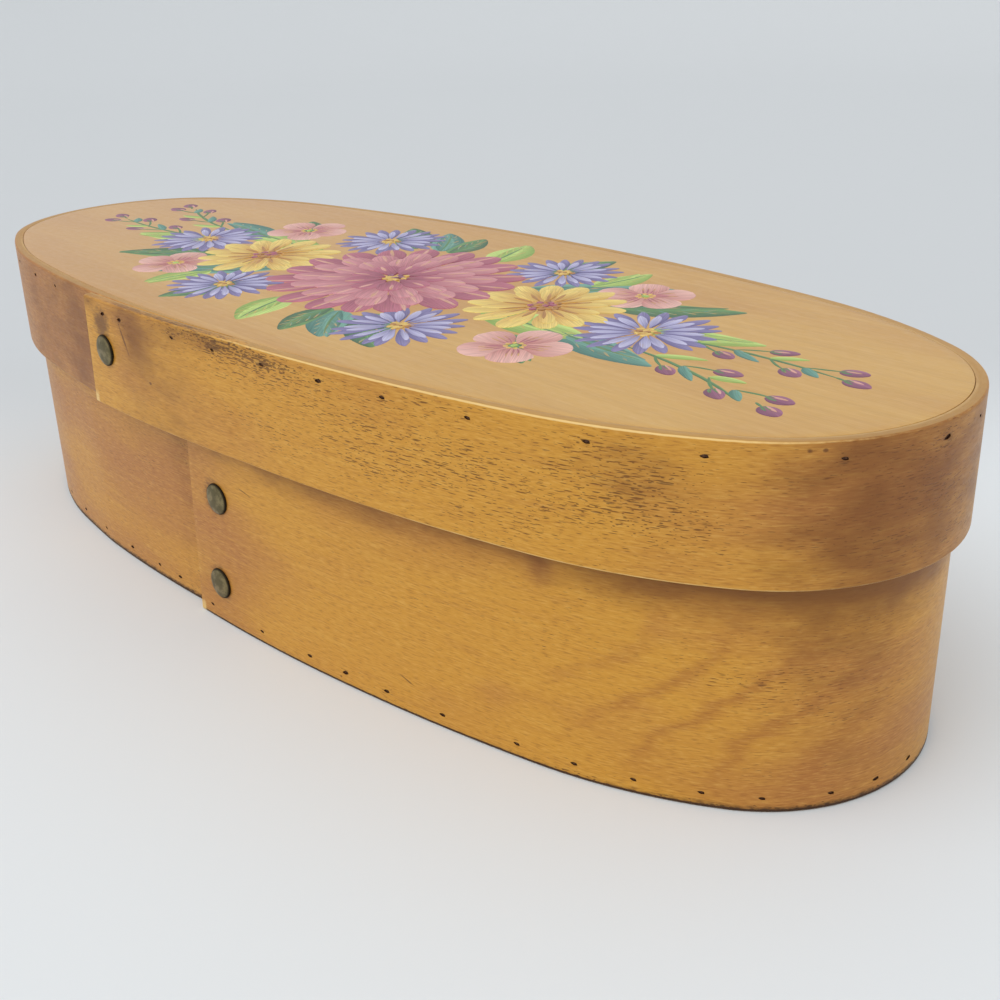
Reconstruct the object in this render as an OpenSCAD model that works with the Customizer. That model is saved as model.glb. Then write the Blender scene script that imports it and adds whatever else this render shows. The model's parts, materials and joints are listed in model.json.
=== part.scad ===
// Oval box of steam-bent veneer with a lift-off lid.
// Two bent bands, a bottom board and a lid board, held by brads and clinched rivets.
// Millimetres. X runs along the box, -Y is the side with the laps, Z is up.
// The origin is at the middle of the underside.

/* [Box] */
// Length over the lid
lid_l = 372.5; // [332:0.5:480]
// Width over the lid
lid_w = 145.5; // [136:0.5:160]
// Height with the lid on
box_h = 95; // [84:0.5:160]
// Depth of the lid, from its top to its lower edge
lid_skirt = 34.5; // [26:0.5:42]
// Radius of the round ends, on the outside of the lid
end_r = 52; // [44:0.5:58]
// Angle off the length where an end arc turns into a shoulder arc
end_turn = 59.5; // [54:0.5:64]
// Angle off the length where a shoulder arc turns into a side arc
side_turn = 79.5; // [77.5:0.5:82]

/* [Wood] */
// Thickness of the lid's band
lid_band_t = 3; // [2:0.1:4]
// Thickness of the body's band
body_band_t = 3; // [2:0.1:4]
// Thickness of the lid board
lid_board_t = 8; // [6:0.5:12]
// Thickness of the bottom board
bottom_board_t = 8; // [6:0.5:12]
// Gap between the lid's band and the body, all round
lid_gap = 0.7; // [0.6:0.05:1.5]
// Least gap between the lid and the body, at the body's lap
lap_gap = 0.3; // [0.25:0.05:0.5]
// Gap between a board and the band round it
board_gap = 0.2; // [0.1:0.05:0.4]

/* [Laps] */
// Place of the lid band's outer end at the lid's edge, along the box from its middle
lid_end_x = -61.5; // [-74:0.5:-58]
// Length of the lid's lap
lid_lap = 80; // [60:1:100]
// Place of the body band's outer end at the bottom, along the box from its middle
body_end_x = -21; // [-30:0.5:-17.5]
// Length of the body's lap
body_lap = 80; // [60:1:95]
// Length over which the body band dips in to pass under its outer end
body_dip = 65; // [50:1:75]
// Lean of both outer ends off the upright
end_lean = 4; // [0:0.5:6]
// Width of the open line between the two layers of a lap
lap_line = 0.15; // [0.1:0.05:0.3]
// Thickness to which an inner end is thinned before the layers join
feather_t = 0.8; // [0.5:0.1:1.2]

/* [Rivets] */
// Diameter of a rivet's head
head_d = 9.6; // [7:0.1:11]
// Height of the head's dome
head_h = 1.1; // [0.6:0.1:1.6]
// Height of the head's rim under the dome
head_rim = 0.3; // [0.2:0.05:0.6]
// Diameter of a rivet's shank
shank_d = 3.2; // [2.4:0.1:4]
// Gap round a shank in its hole
shank_gap = 0.05; // [0.03:0.01:0.1]
// Length of a clinched leg, from the middle of the shank
leg_l = 5; // [4:0.1:5.4]
// Width of a clinched leg
leg_w = 2.6; // [2:0.1:3]
// Thickness of a clinched leg
leg_t = 0.8; // [0.5:0.1:1]
// Depth to which the lid rivet's legs are let into the wood
leg_let_in = 0.5; // [0.3:0.05:0.8]
// Gap under the head and under the legs
seat_gap = 0.06; // [0.05:0.01:0.12]
// Distance of the lid rivet behind the outer end, at its own height
lid_rivet_in = 11; // [8:0.5:20]
// Distance of the lid rivet under the lid board
lid_rivet_down = 7.5; // [7:0.5:11]
// Distance of the lower body rivet behind the outer end, at its own height
low_rivet_in = 13; // [8:0.5:25]
// Height of the lower body rivet over the bottom board
low_rivet_up = 5.7; // [5.5:0.1:8]
// Distance of the upper body rivet behind the outer end, at its own height
high_rivet_in = 14.5; // [8:0.5:25]
// Distance of the upper body rivet under the lid's lower edge
high_rivet_down = 18; // [8:0.5:19]

/* [Brads] */
// Width of a brad's head, along the band
brad_head_w = 2.4; // [2:0.1:4]
// Thickness of the head, through the wood
brad_head_t = 0.8; // [0.5:0.1:1.2]
// Height of a brad's head and shank
brad_h = 1; // [0.8:0.1:1.6]
// Width of a brad's shank, along the band
brad_w = 1.6; // [1.2:0.1:1.9]
// Length of a brad
brad_l = 14; // [12:0.5:18]
// Depth to which the head is driven under the surface
brad_sunk = 0.4; // [0.2:0.05:0.8]
// Gap round a brad
brad_gap = 0.03; // [0.02:0.01:0.06]
// Place of the first bottom brad, along the front from its middle
bottom_first = -112; // [-120:1:-108]
// Distance between the bottom brads round the back
bottom_pitch = 20; // [14:1:40]
// Place of the first lid brad, along the front from its middle
lid_first = -112; // [-120:1:-108]
// Distance between the lid brads round the back
lid_pitch = 24; // [14:1:40]

/* [Hidden] */

// The brads in front were driven by eye: the gaps from each to the next on its right
bottom_gaps = [21, 21, 19, 13, 24, 26, 22, 15, 16, 20, 24, 17, 16, 17, 15, 18, 14, 14];
lid_gaps = [20, 44, 10, 28, 19, 21, 22, 22, 26, 31, 26, 29, 27, 17];

honey = [0.76, 0.55, 0.26];
amber = [0.70, 0.47, 0.22];
pale_tan = [0.80, 0.67, 0.42];
dark_brass = [0.35, 0.34, 0.24];
dark_iron = [0.28, 0.15, 0.06];

plan_fn = 720;
rivet_fn = 96;
// Reach of cutting shapes past the wood
far = 40;
// Spare length of an outer layer before its end is cut
end_spare = 1;

function dir(a) = [cos(a), sin(a)];
function thou(v) = round(v * 1000) / 1000;
function turn_of(v) = atan2(v[1], v[0]);

// The plan is an oval of three radii, whose arcs meet where their radii line up, so
// that every offset outline has the same centres. Offset 0 is the outside of the lid.
// The two larger radii follow from the length, the width and the two turns.
half_l = lid_l / 2;
half_w = lid_w / 2;
reach_l = half_l - end_r;
reach_w = half_w - end_r;
det = cos(end_turn) * (1 - sin(side_turn)) - cos(side_turn) * (1 - sin(end_turn));
shoulder_r = thou(end_r
    + (reach_l * (1 - sin(side_turn)) - reach_w * cos(side_turn)) / det);
side_r = thou(shoulder_r
    + (reach_w * cos(end_turn) - reach_l * (1 - sin(end_turn))) / det);
end_c = [reach_l, 0];
side_c = [0, half_w - side_r];
shoulder_c = meet(side_c, side_r - shoulder_r, end_c, shoulder_r - end_r);
end_a = turn_of(end_c - shoulder_c);
side_a = turn_of(shoulder_c - side_c);
// Where the arcs of an outline at offset o meet, along the box
function end_join(o) = thou(end_c[0] + (end_r + o) * cos(end_a));
function side_join(o) = thou((side_r + o) * cos(side_a));

// The point at distance a from p and b from q, on the left of the way from p to q
function meet(p, a, q, b) =
    let (v = q - p, l = norm(v), t = (a * a - b * b + l * l) / (2 * l),
         h = sqrt(a * a - t * t))
    p + (v * t + [-v[1], v[0]] * h) / l;

lid_in = -lid_band_t;
body_out = lid_in - lid_gap;
body_in = body_out - body_band_t;
body_h = box_h - lid_board_t;
lid_z = box_h - lid_skirt;

// Length of each stretch of a quarter of the lid's outline, front middle to end
side_len = side_r * (90 - side_a) * PI / 180;
shoulder_len = shoulder_r * (side_a - end_a) * PI / 180;
end_len = end_r * end_a * PI / 180;
quarter = side_len + shoulder_len + end_len;

// Turn of the outward normal off -Y, at distance s along the outline from the front
function quarter_turn(s) =
    s < side_len ? s / side_r * 180 / PI
    : s < side_len + shoulder_len
        ? 90 - side_a + (s - side_len) / shoulder_r * 180 / PI
        : 90 - end_a + (s - side_len - shoulder_len) / end_r * 180 / PI;
function turn(s) =
    s > 2 * quarter ? turn(s - 4 * quarter)
    : s < 0 ? -turn(-s)
    : s > quarter ? 180 - quarter_turn(2 * quarter - s)
    : quarter_turn(s);
// Centre and radius of the arc that has a normal turned by a
function arc_at(a) =
    let (back = abs(a) > 90, q = back ? 180 - abs(a) : abs(a),
         arc = q < 90 - side_a ? [side_c, side_r]
             : q < 90 - end_a ? [shoulder_c, shoulder_r] : [end_c, end_r])
    [[arc[0][0] * (a < 0 ? -1 : 1), arc[0][1] * (back ? 1 : -1)], arc[1]];
function place(s, o) =
    let (a = turn(s), arc = arc_at(a)) arc[0] + (arc[1] + o) * dir(a - 90);

// The point of the front arc at x, and the centre of an arc of radius r through p and q
function front(x, o) = [x, -side_c[1] - sqrt(pow(side_r + o, 2) - x * x)];
function front_turn(x) = asin(x / side_r);
function centre(p, q, r) =
    let (v = q - p, l = norm(v))
    (p + q) / 2 + [-v[1], v[0]] / l * sqrt(r * r - l * l / 4);

// Laps. A lap has its outer end at lap[0] and its inner end at lap[1]. The face of the
// outer layer rises at lap[0], and the rest of the strip drops in to pass under it.
lid_lap_at = [lid_end_x, lid_end_x + lid_lap];
body_lap_at = [body_end_x, body_end_x + body_lap];
dip_x = body_end_x - body_dip;
lid_rise = lid_band_t + lap_line;
body_rise = lid_gap - lap_gap;
body_drop = body_band_t + lap_line - body_rise;
function along(lap, x) = (lap[1] - x) / (lap[1] - lap[0]);
function in_lap(lap, x) = x > lap[0] && x < lap[1];
// Where the open line stops, because the inner end is thinned to feather_t
function line_end(lap, t) =
    thou(lap[1] - (lap[1] - lap[0]) * (feather_t + lap_line) / (t + lap_line));

// Offset of the outer face on the front at x
function lid_face(x) = in_lap(lid_lap_at, x) ? lid_rise * along(lid_lap_at, x) : 0;
function body_face(x) =
    body_out + (in_lap(body_lap_at, x) ? body_rise * along(body_lap_at, x)
    : x > dip_x && x <= body_end_x ? -body_drop * (x - dip_x) / body_dip : 0);
// The same at distance s along the outline, where only the front has laps
function on_front(s) = abs(turn(s)) < 90 - side_a;
function lid_face_at(s) = on_front(s) ? lid_face(place(s, 0)[0]) : 0;
function body_face_at(s) = on_front(s) ? body_face(place(s, 0)[0]) : body_out;

// A move in two steps, so that none of its digits is rounded off
module put(v) {
    whole = [for (c = v) thou(c)];
    translate(whole) translate(v - whole) children();
}
module disc(c, r) {
    put(c) circle(r, $fn = plan_fn);
}
// What lies between two places along the box, on one side of its middle or on both
front_side = [-lid_w, 0];
back_side = [0, lid_w];
both_sides = [-lid_w, lid_w];
module strip(x, y) {
    translate([x[0], y[0]]) square([x[1] - x[0], y[1] - y[0]]);
}
// A stretch of the front: two places along the box, and the offsets of the face there
module front_slice(x, o) {
    r = thou(side_r + (o[0] + o[1]) / 2);
    intersection() {
        disc(centre(front(x[0], o[0]), front(x[1], o[1]), r), r);
        strip(x, front_side);
    }
}
// All that lies inside the outline at offset o, whose front may have stretches of its own
module plan(o, stretches = []) {
    e = end_join(o);
    s = side_join(o);
    for (side = [0, 1]) mirror([side, 0, 0]) {
        intersection() {
            disc(end_c, end_r + o);
            strip([e, lid_l], both_sides);
        }
        for (half = [0, 1]) mirror([0, half, 0]) intersection() {
            disc(shoulder_c, shoulder_r + o);
            strip([s, e], back_side);
        }
    }
    intersection() {
        disc(side_c, side_r + o);
        strip([-s, s], back_side);
    }
    n = len(stretches);
    first_x = n > 0 ? stretches[0][0][0] : s;
    front_slice([-s, first_x], [o, o]);
    for (st = stretches) front_slice(st[0], st[1]);
    if (n > 0) front_slice([stretches[n - 1][0][1], s], [o, o]);
}
// The body's front, which dips in and comes out again inside its lap
function dip(o) = [[[dip_x, body_end_x], [o, o - body_drop]]];
function dip_and_back(o) = concat(dip(o), [[body_lap_at, [o - body_drop, o]]]);
// The outer face of a lap's inner layer, and then of both layers where they join
function under_lap(lap, o, t, rise) =
    let (m = line_end(lap, t), part = along(lap, m), in = t + lap_line)
    [[[lap[0], m], [o + rise - in, o + rise * part - in]],
     [[m, lap[1]], [o + rise * part, o]]];
// The outer layer, cut back to its leaning end
module lap_outer(lap, o, t, rise, h) {
    x = [lap[0] - end_spare, line_end(lap, t)];
    face = [for (c = x) o + rise * along(lap, c)];
    difference() {
        linear_extrude(h) difference() {
            front_slice(x, face);
            front_slice(x, [for (f = face) f - t]);
        }
        translate([lap[0], 0, 0]) rotate([0, end_lean, 0])
            translate([-2 * far, -lid_w, -far]) cube([2 * far, lid_w, h + 2 * far]);
    }
}

// A brad driven straight in at s, with its head sunk under the face at offset o
module brad_at(s, o, z) {
    translate([place(s, o)[0], place(s, o)[1], z]) rotate([0, 0, turn(s)]) children();
}
module brad() {
    translate([-brad_head_w / 2, brad_sunk, -brad_h / 2])
        cube([brad_head_w, brad_head_t, brad_h]);
    translate([-brad_w / 2, brad_sunk, -brad_h / 2])
        cube([brad_w, brad_l, brad_h]);
}
module brad_hole() {
    h = brad_h + 2 * brad_gap;
    head = brad_head_w + 2 * brad_gap;
    shank = brad_w + 2 * brad_gap;
    translate([-head / 2, -far / 2, -h / 2])
        cube([head, far / 2 + brad_sunk + brad_head_t + brad_gap, h]);
    translate([-shank / 2, 0, -h / 2])
        cube([shank, brad_sunk + brad_l + brad_gap, h]);
}
// Running sums of the gaps in front, then even steps round the back to the first brad
function sums(v, first) =
    [for (i = 0, t = first; i <= len(v); t = t + (i < len(v) ? v[i] : 0), i = i + 1) t];
function brad_places(first, gaps, pitch) =
    let (near = sums(gaps, first), last = near[len(gaps)],
         rest = 4 * quarter + first - last, n = max(2, round(rest / pitch)))
    concat(near, [for (i = [1 : n - 1]) last + rest * i / n]);
bottom_places = brad_places(bottom_first, bottom_gaps, bottom_pitch);
lid_places = brad_places(lid_first, lid_gaps, lid_pitch);
module at_bottom_brads() {
    for (s = bottom_places) brad_at(s, body_face_at(s), bottom_board_t / 2) children();
}
module at_lid_brads() {
    for (s = lid_places) brad_at(s, lid_face_at(s), box_h - lid_board_t / 2) children();
}

// Rivets. Each is drawn with its head outward along -Y, and its wood from y = 0 to grip.
module leg_plan(grow) {
    w = leg_w + 2 * grow;
    tip = leg_l - leg_w / 2;
    translate([-w / 2, -tip]) square([w, 2 * tip]);
    for (y = [-tip, tip]) translate([0, y]) circle(d = w, $fn = rivet_fn);
}
module rivet(grip) {
    cap_r = (head_d * head_d / 4 + head_h * head_h) / (2 * head_h);
    legs_y = grip + seat_gap + leg_t;
    // The split goes three quarters of the way through the legs
    split = 0.75 * leg_t * sqrt(2);
    split_floor = leg_t / 4;
    intersection() {
        translate([0, cap_r - head_rim - head_h - seat_gap, 0]) sphere(cap_r, $fn = rivet_fn);
        translate([0, -seat_gap, 0]) rotate([90, 0, 0])
            cylinder(d = head_d, h = head_rim + head_h, $fn = rivet_fn);
    }
    // The shank reaches into the head's rim, and into the legs as far as the split
    translate([0, -seat_gap - head_rim, 0]) rotate([-90, 0, 0])
        cylinder(d = shank_d, h = head_rim + grip + 2 * seat_gap + split_floor, $fn = rivet_fn);
    difference() {
        translate([0, legs_y, 0]) rotate([90, 0, 0]) linear_extrude(leg_t) leg_plan(0);
        // The split between the two legs
        translate([0, legs_y, 0]) rotate([45, 0, 0]) cube([2 * leg_w, split, split], center = true);
    }
}
module rivet_hole(grip, let_in) {
    translate([0, -far, 0]) rotate([-90, 0, 0])
        cylinder(d = shank_d + 2 * shank_gap, h = 2 * far + grip, $fn = rivet_fn);
    if (let_in > 0)
        translate([0, grip + far, 0]) rotate([90, 0, 0])
            linear_extrude(far) leg_plan(shank_gap);
}
// The place along the box that lies behind a leaning end by distance d at height up
function behind(lap, up, d) = lap[0] + up * tan(end_lean) + d;
lid_rivet_z = body_h - lid_rivet_down;
lid_rivet_x = behind(lid_lap_at, lid_rivet_z - lid_z, lid_rivet_in);
// The height of each body rivet, and its distance behind the end
low_rivet = [bottom_board_t + low_rivet_up, low_rivet_in];
high_rivet = [lid_z - high_rivet_down, high_rivet_in];
lid_grip = lid_face(lid_rivet_x) - lid_in - leg_let_in;
module lid_rivet_place() {
    p = front(lid_rivet_x, lid_face(lid_rivet_x));
    translate([p[0], p[1], lid_rivet_z])
        rotate([0, 0, front_turn(lid_rivet_x) + atan(lid_rise / lid_lap)]) children();
}
// Both layers of the body's lap, and the line between them, thin at one rate
function body_rivet_x(spot) = behind(body_lap_at, spot[0], spot[1]);
function body_grip(spot) =
    body_band_t + (body_rise + body_drop) * along(body_lap_at, body_rivet_x(spot));
module body_rivet_place(spot) {
    x = body_rivet_x(spot);
    p = front(x, body_face(x));
    translate([p[0], p[1], spot[0]])
        rotate([0, 0, front_turn(p[0]) + atan(body_rise / body_lap)]) children();
}

module body_band() {
    color(honey) difference() {
        union() {
            linear_extrude(body_h) difference() {
                plan(body_out, concat(dip(body_out),
                    under_lap(body_lap_at, body_out, body_band_t, body_rise)));
                plan(body_in, dip_and_back(body_in));
            }
            lap_outer(body_lap_at, body_out, body_band_t, body_rise, body_h);
        }
        at_bottom_brads() brad_hole();
        for (spot = [low_rivet, high_rivet])
            body_rivet_place(spot) rivet_hole(body_grip(spot), 0);
    }
}
module bottom_board() {
    o = body_in - board_gap;
    color(amber) difference() {
        linear_extrude(bottom_board_t) plan(o, dip_and_back(o));
        at_bottom_brads() brad_hole();
    }
}
module bottom_brads() {
    color(dark_iron) at_bottom_brads() brad();
}
module body_rivet_upper() {
    color(dark_brass) body_rivet_place(high_rivet) rivet(body_grip(high_rivet));
}
module body_rivet_lower() {
    color(dark_brass) body_rivet_place(low_rivet) rivet(body_grip(low_rivet));
}
module lid_band() {
    color(honey) difference() {
        translate([0, 0, lid_z]) union() {
            linear_extrude(lid_skirt) difference() {
                plan(0, under_lap(lid_lap_at, 0, lid_band_t, lid_rise));
                plan(lid_in);
            }
            lap_outer(lid_lap_at, 0, lid_band_t, lid_rise, lid_skirt);
        }
        at_lid_brads() brad_hole();
        lid_rivet_place() rivet_hole(lid_grip, leg_let_in);
    }
}
module lid_board() {
    color(pale_tan) difference() {
        translate([0, 0, body_h]) linear_extrude(lid_board_t) plan(lid_in - board_gap);
        at_lid_brads() brad_hole();
    }
}
module lid_brads() {
    color(dark_iron) at_lid_brads() brad();
}
module lid_rivet() {
    color(dark_brass) lid_rivet_place() rivet(lid_grip);
}

body_band();
bottom_board();
bottom_brads();
body_rivet_upper();
body_rivet_lower();
lid_band();
lid_board();
lid_brads();
lid_rivet();
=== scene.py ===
# %% [markdown]
# # A painted oval box of bent wood
#
# The box is two strips of steam-bent veneer, each lapped over itself and closed with
# clinched rivets, round a bottom board and a lid board that brads hold. The construction
# is already modelled. This script only gives it its looks, so it starts by loading that
# model as a fixed frame, and every piece made here goes where the frame says.

# %% Load the construction
import json
import math
import random

import bmesh
import bpy
from mathutils import Matrix, Vector, kdtree

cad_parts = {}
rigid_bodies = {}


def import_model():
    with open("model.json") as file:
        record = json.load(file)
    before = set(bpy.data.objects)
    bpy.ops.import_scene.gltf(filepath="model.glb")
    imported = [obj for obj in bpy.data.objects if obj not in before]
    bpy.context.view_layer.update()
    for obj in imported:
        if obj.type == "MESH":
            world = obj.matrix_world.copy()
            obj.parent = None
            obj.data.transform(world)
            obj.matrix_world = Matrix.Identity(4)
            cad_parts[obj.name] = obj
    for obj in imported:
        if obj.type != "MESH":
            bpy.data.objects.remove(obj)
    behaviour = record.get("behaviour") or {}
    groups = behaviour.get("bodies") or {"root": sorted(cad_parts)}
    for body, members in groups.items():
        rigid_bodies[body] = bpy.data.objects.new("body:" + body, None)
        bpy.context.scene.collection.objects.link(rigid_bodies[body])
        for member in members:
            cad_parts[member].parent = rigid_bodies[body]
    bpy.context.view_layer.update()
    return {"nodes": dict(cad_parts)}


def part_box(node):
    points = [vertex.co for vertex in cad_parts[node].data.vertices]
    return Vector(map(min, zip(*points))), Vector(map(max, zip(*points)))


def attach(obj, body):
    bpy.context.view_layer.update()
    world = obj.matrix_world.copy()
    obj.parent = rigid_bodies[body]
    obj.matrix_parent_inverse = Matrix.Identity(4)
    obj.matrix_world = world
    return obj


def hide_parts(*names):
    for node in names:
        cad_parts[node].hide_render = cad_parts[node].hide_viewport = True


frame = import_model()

MM = 0.001
print("nodes:", sorted(frame["nodes"]))


# %% [markdown]
# ## Two small helpers
#
# Shader trees and geometry trees are both lists of nodes with links between them. One
# function adds a node, applies its settings and fills its inputs, where an input is either
# a plain value or another node's output. It returns an output, so that calls can be
# nested like a formula. Colours are written as the hex values that an image editor shows,
# and a second function turns them to the linear values that Blender computes with.

# %% Nodes and colours
def add(tree, kind, inputs=None, out=0, **settings):
    """Adds a node to a tree and returns one of its outputs."""
    node = tree.nodes.new(kind)
    for name, value in settings.items():
        setattr(node, name, value)
    for key, value in (inputs or {}).items():
        values = value if isinstance(value, list) else [value]
        for one in values:
            if isinstance(one, bpy.types.NodeSocket):
                tree.links.new(one, node.inputs[key])
            else:
                node.inputs[key].default_value = one
    return node.outputs[out] if len(node.outputs) else node


def linear(text):
    """The linear red, green, blue and alpha of an sRGB hex colour."""
    channels = [int(text[i:i + 2], 16) / 255 for i in (1, 3, 5)]
    return tuple(c / 12.92 if c <= 0.04045 else ((c + 0.055) / 1.055) ** 2.4
                 for c in channels) + (1.0,)


print("honey wood in linear light:", [round(c, 3) for c in linear("#C28F4A")])


# %% [markdown]
# ## Wood
#
# The bands are birch veneer, peeled off a turning log with a long knife and then stained
# and lacquered. To the eye that gives a golden ground that drifts to a rosy brown, soft
# contours where the knife met the year rings at a shallow angle, fine fibres, and short
# dark dashes where pores were cut open and hold the stain. A painter would lay these one
# over the other, and so does the material: each is a tint, laid where a pattern is strong.
# The patterns are noises, stretched along the grain to sizes taken from real wood.

# %% Patterns and tints that wood is made of
def stretched(tree, spot, along, across, detail=2.0, seed=0.0):
    """A noise with features of the given length and width, for a spot in millimetres."""
    small = add(tree, "ShaderNodeMapping", {
        "Vector": spot, "Location": (seed, seed * 0.7, seed * 1.3),
        "Scale": (1 / along, 1 / across, 1 / across)})
    return add(tree, "ShaderNodeTexNoise", {"Vector": small, "Scale": 1.0, "Detail": detail})


def tinted(tree, colour, pattern, low, high, most, tint):
    """Lays a tint over a colour, growing to its most as a pattern goes from low to high."""
    share = add(tree, "ShaderNodeMapRange", {0: pattern, 1: low, 2: high, 3: 0.0, 4: most},
                interpolation_type="SMOOTHSTEP")
    tint = linear(tint) if isinstance(tint, str) else tint
    return add(tree, "ShaderNodeMix", {"Factor": share, 6: colour, 7: tint}, out=2,
               data_type="RGBA")


def layered(tree, colour, *layers):
    """Lays tints over a colour in turn, each a pattern, its low, high and most, and a tint."""
    for layer in layers:
        colour = tinted(tree, colour, *layer)
    return colour


print("the tint of pores in linear light:", [round(c, 3) for c in linear("#573004")])


# %% [markdown]
# Pores and scratches have a form of their own, which a noise can't give. A Voronoi pattern
# cuts the surface into cells and gives each its middle and a lot drawn by chance, so a dash
# can lie round some of the middles. A scratch is one stretched and turned circle.

# %% Dashes and scratches
DASH_REACH = 0.36


def dashes(tree, spot, along, across, most, seed):
    """Short dashes along the grain, one to a cell at most, where most is over 0."""
    # The cells are turned after they are scaled, or the dashes would stand in columns
    small = add(tree, "ShaderNodeMapping", {
        "Vector": spot, "Location": (seed, seed * 0.6, 0), "Rotation": (0, 0, 0.62),
        "Scale": (1 / along, 1 / across, 0)})
    cell = add(tree, "ShaderNodeTexVoronoi", {"Vector": small, "Scale": 1.0},
               voronoi_dimensions="2D")
    lot = add(tree, "ShaderNodeSeparateColor", {"Color": cell.node.outputs["Color"]})
    reach = add(tree, "ShaderNodeMath", {0: most, 1: lot}, operation="SUBTRACT")
    away = add(tree, "ShaderNodeMath", {0: cell.node.outputs["Distance"], 1: -1.0},
               operation="MULTIPLY")
    return add(tree, "ShaderNodeMath", {0: reach, 1: DASH_REACH, 2: away},
               operation="MULTIPLY_ADD")


def scratched(tree, colour, spot, mottle, lines, most, tint):
    """Tints a colour along lines, each a place, a half length, a half width and a turn."""
    for u, v, half_length, half_width, turn in lines:
        local = add(tree, "ShaderNodeMapping", {
            "Vector": spot, "Location": (u, v, 0), "Rotation": (0, 0, math.radians(turn)),
            "Scale": (half_length, half_width, 1)}, vector_type="TEXTURE")
        # 1 or more is clear of the scratch, and 0 is on its line
        near = add(tree, "ShaderNodeVectorMath", {0: local}, out=1, operation="LENGTH")
        near = add(tree, "ShaderNodeMath", {0: mottle, 1: 0.9, 2: near},
                   operation="MULTIPLY_ADD")
        colour = tinted(tree, colour, near, 1.3, 0.7, most, tint)
    return colour


print("a dash reaches", DASH_REACH, "of its cell's size from its middle at most")


# %% [markdown]
# Every material here starts and ends in the same way. It starts with a spot on its piece,
# in millimetres, so that patterns can have real sizes. It ends with a colour, a roughness
# and a relief that are linked to the shader, and with the shader's plain numbers.

# %% How a material starts and ends
def new_material(name, source="ShaderNodeTexCoord", out=3, **settings):
    """A material, its node tree, and a spot on the piece in millimetres."""
    material = bpy.data.materials.new(name)
    material.use_nodes = True
    tree = material.node_tree
    place = add(tree, source, out=out, **settings)
    spot = add(tree, "ShaderNodeVectorMath", {0: place, "Scale": 1000.0}, operation="SCALE")
    return material, tree, spot


LINKED = ("Base Color", "Roughness", "Normal")


def finish(tree, colour, gloss, relief, strength, depth, plain):
    """Links the shader's colour, roughness and relief, and sets its plain numbers."""
    shader = tree.nodes["Principled BSDF"]
    bump = add(tree, "ShaderNodeBump", {"Strength": strength, "Distance": depth,
                                        "Height": relief})
    for socket, value in zip(LINKED, (colour, gloss, bump)):
        tree.links.new(value, shader.inputs[socket])
    for socket, value in plain.items():
        shader.inputs[socket].default_value = value


print("linked in every material:", LINKED)


# %% [markdown]
# The two veneers share one recipe. The pattern follows the UV map named grain, which runs
# along the strip in metres, so it bends round the box as the real grain does. Where a band
# is rosy, flecked or dirty, or carries painted shade or a painted highlight, is its own
# story, and comes as an attribute that the script works out for each point. The recipe
# starts with the bare wood under its stain.

# %% Ground and figure of the veneer
SPOT_KEYS = ("rosy", "flecks", "soot", "umber", "figure")


def veneer_ground(tree, spot, marks, seed, tilt):
    """The stained wood, with its streaks and the soft contours of its year rings."""
    # The ground drifts from gold to rose, with lighter and darker streaks
    cloud = stretched(tree, spot, 70, 26, 2.0, seed + 7)
    streak = stretched(tree, spot, 26, 1.5, 3.0, seed + 3)
    rosy = add(tree, "ShaderNodeMath", {0: marks["rosy"], 1: 0.45, 2: cloud},
               operation="MULTIPLY_ADD")
    colour = layered(tree, linear("#D09433"), (rosy, 0.42, 0.95, 1.0, "#B67838"),
                     (streak, 0.5, 0.8, 0.3, "#AC7032"), (streak, 0.5, 0.25, 0.3, "#DDA84A"))

    # Contours of the year rings: a tilted coordinate, bent by noise, cut into steps
    tilted = add(tree, "ShaderNodeVectorMath", {0: spot, 1: (tilt / 17, -1 / 17, 0)},
                 operation="DOT_PRODUCT", out=1)
    for along, across, strength in ((90, 34, 2.2), (14, 2.5, 0.45), (3, 0.6, 0.2)):
        bend = stretched(tree, spot, along, across, 1.0, seed + along)
        tilted = add(tree, "ShaderNodeMath", {0: bend, 1: strength, 2: tilted},
                     operation="MULTIPLY_ADD")
    ring = add(tree, "ShaderNodeMath", {0: tilted, 1: 0.5}, operation="PINGPONG")
    ring = add(tree, "ShaderNodeMath", {0: marks["figure"], 1: ring}, operation="MULTIPLY")
    return tinted(tree, colour, ring, 0.2, 0.5, 0.5, "#9E5C26"), streak


print("marks on the bands:", ", ".join(SPOT_KEYS))


# %% [markdown]
# Pores come in three sizes, from long open ones to specks. Real ones are a few hundredths
# of a millimetre wide, which wouldn't show, so these are drawn half a millimetre wide. Each
# patch of them is denser where the band is flecked or dirty, and along the painted contact
# shadow of the lower edge.

# %% Pores of the veneer
# Length, width, and how many more of them there are than of the first
PORES = ((6.4, 0.62, 0.0), (4.4, 0.5, 0.18), (1.8, 0.7, -0.12))


def veneer_pores(tree, spot, marks, seed):
    """How deep in a pore a spot is, over 0 where it is in one."""
    patch = stretched(tree, spot, 26, 8, 3.0, seed + 17)
    wanted = add(tree, "ShaderNodeMath", {0: patch, 1: 1.3, 2: -0.65},
                 operation="MULTIPLY_ADD")
    wanted = add(tree, "ShaderNodeMath", {0: wanted, 1: marks["flecks"]}, operation="ADD")
    (along, across, more), *others = PORES
    pores = dashes(tree, spot, along, across, wanted, seed)
    for along, across, more in others:
        wanted = add(tree, "ShaderNodeMath", {0: marks["soot"], 1: 1.3, 2: wanted},
                     operation="MULTIPLY_ADD")
        few = add(tree, "ShaderNodeMath", {0: wanted, 1: more}, operation="ADD")
        smaller = dashes(tree, spot, along, across, few, seed + along)
        pores = add(tree, "ShaderNodeMath", {0: pores, 1: smaller}, operation="MAXIMUM")
    return pores


print("sizes of pores:", len(PORES))
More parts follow.
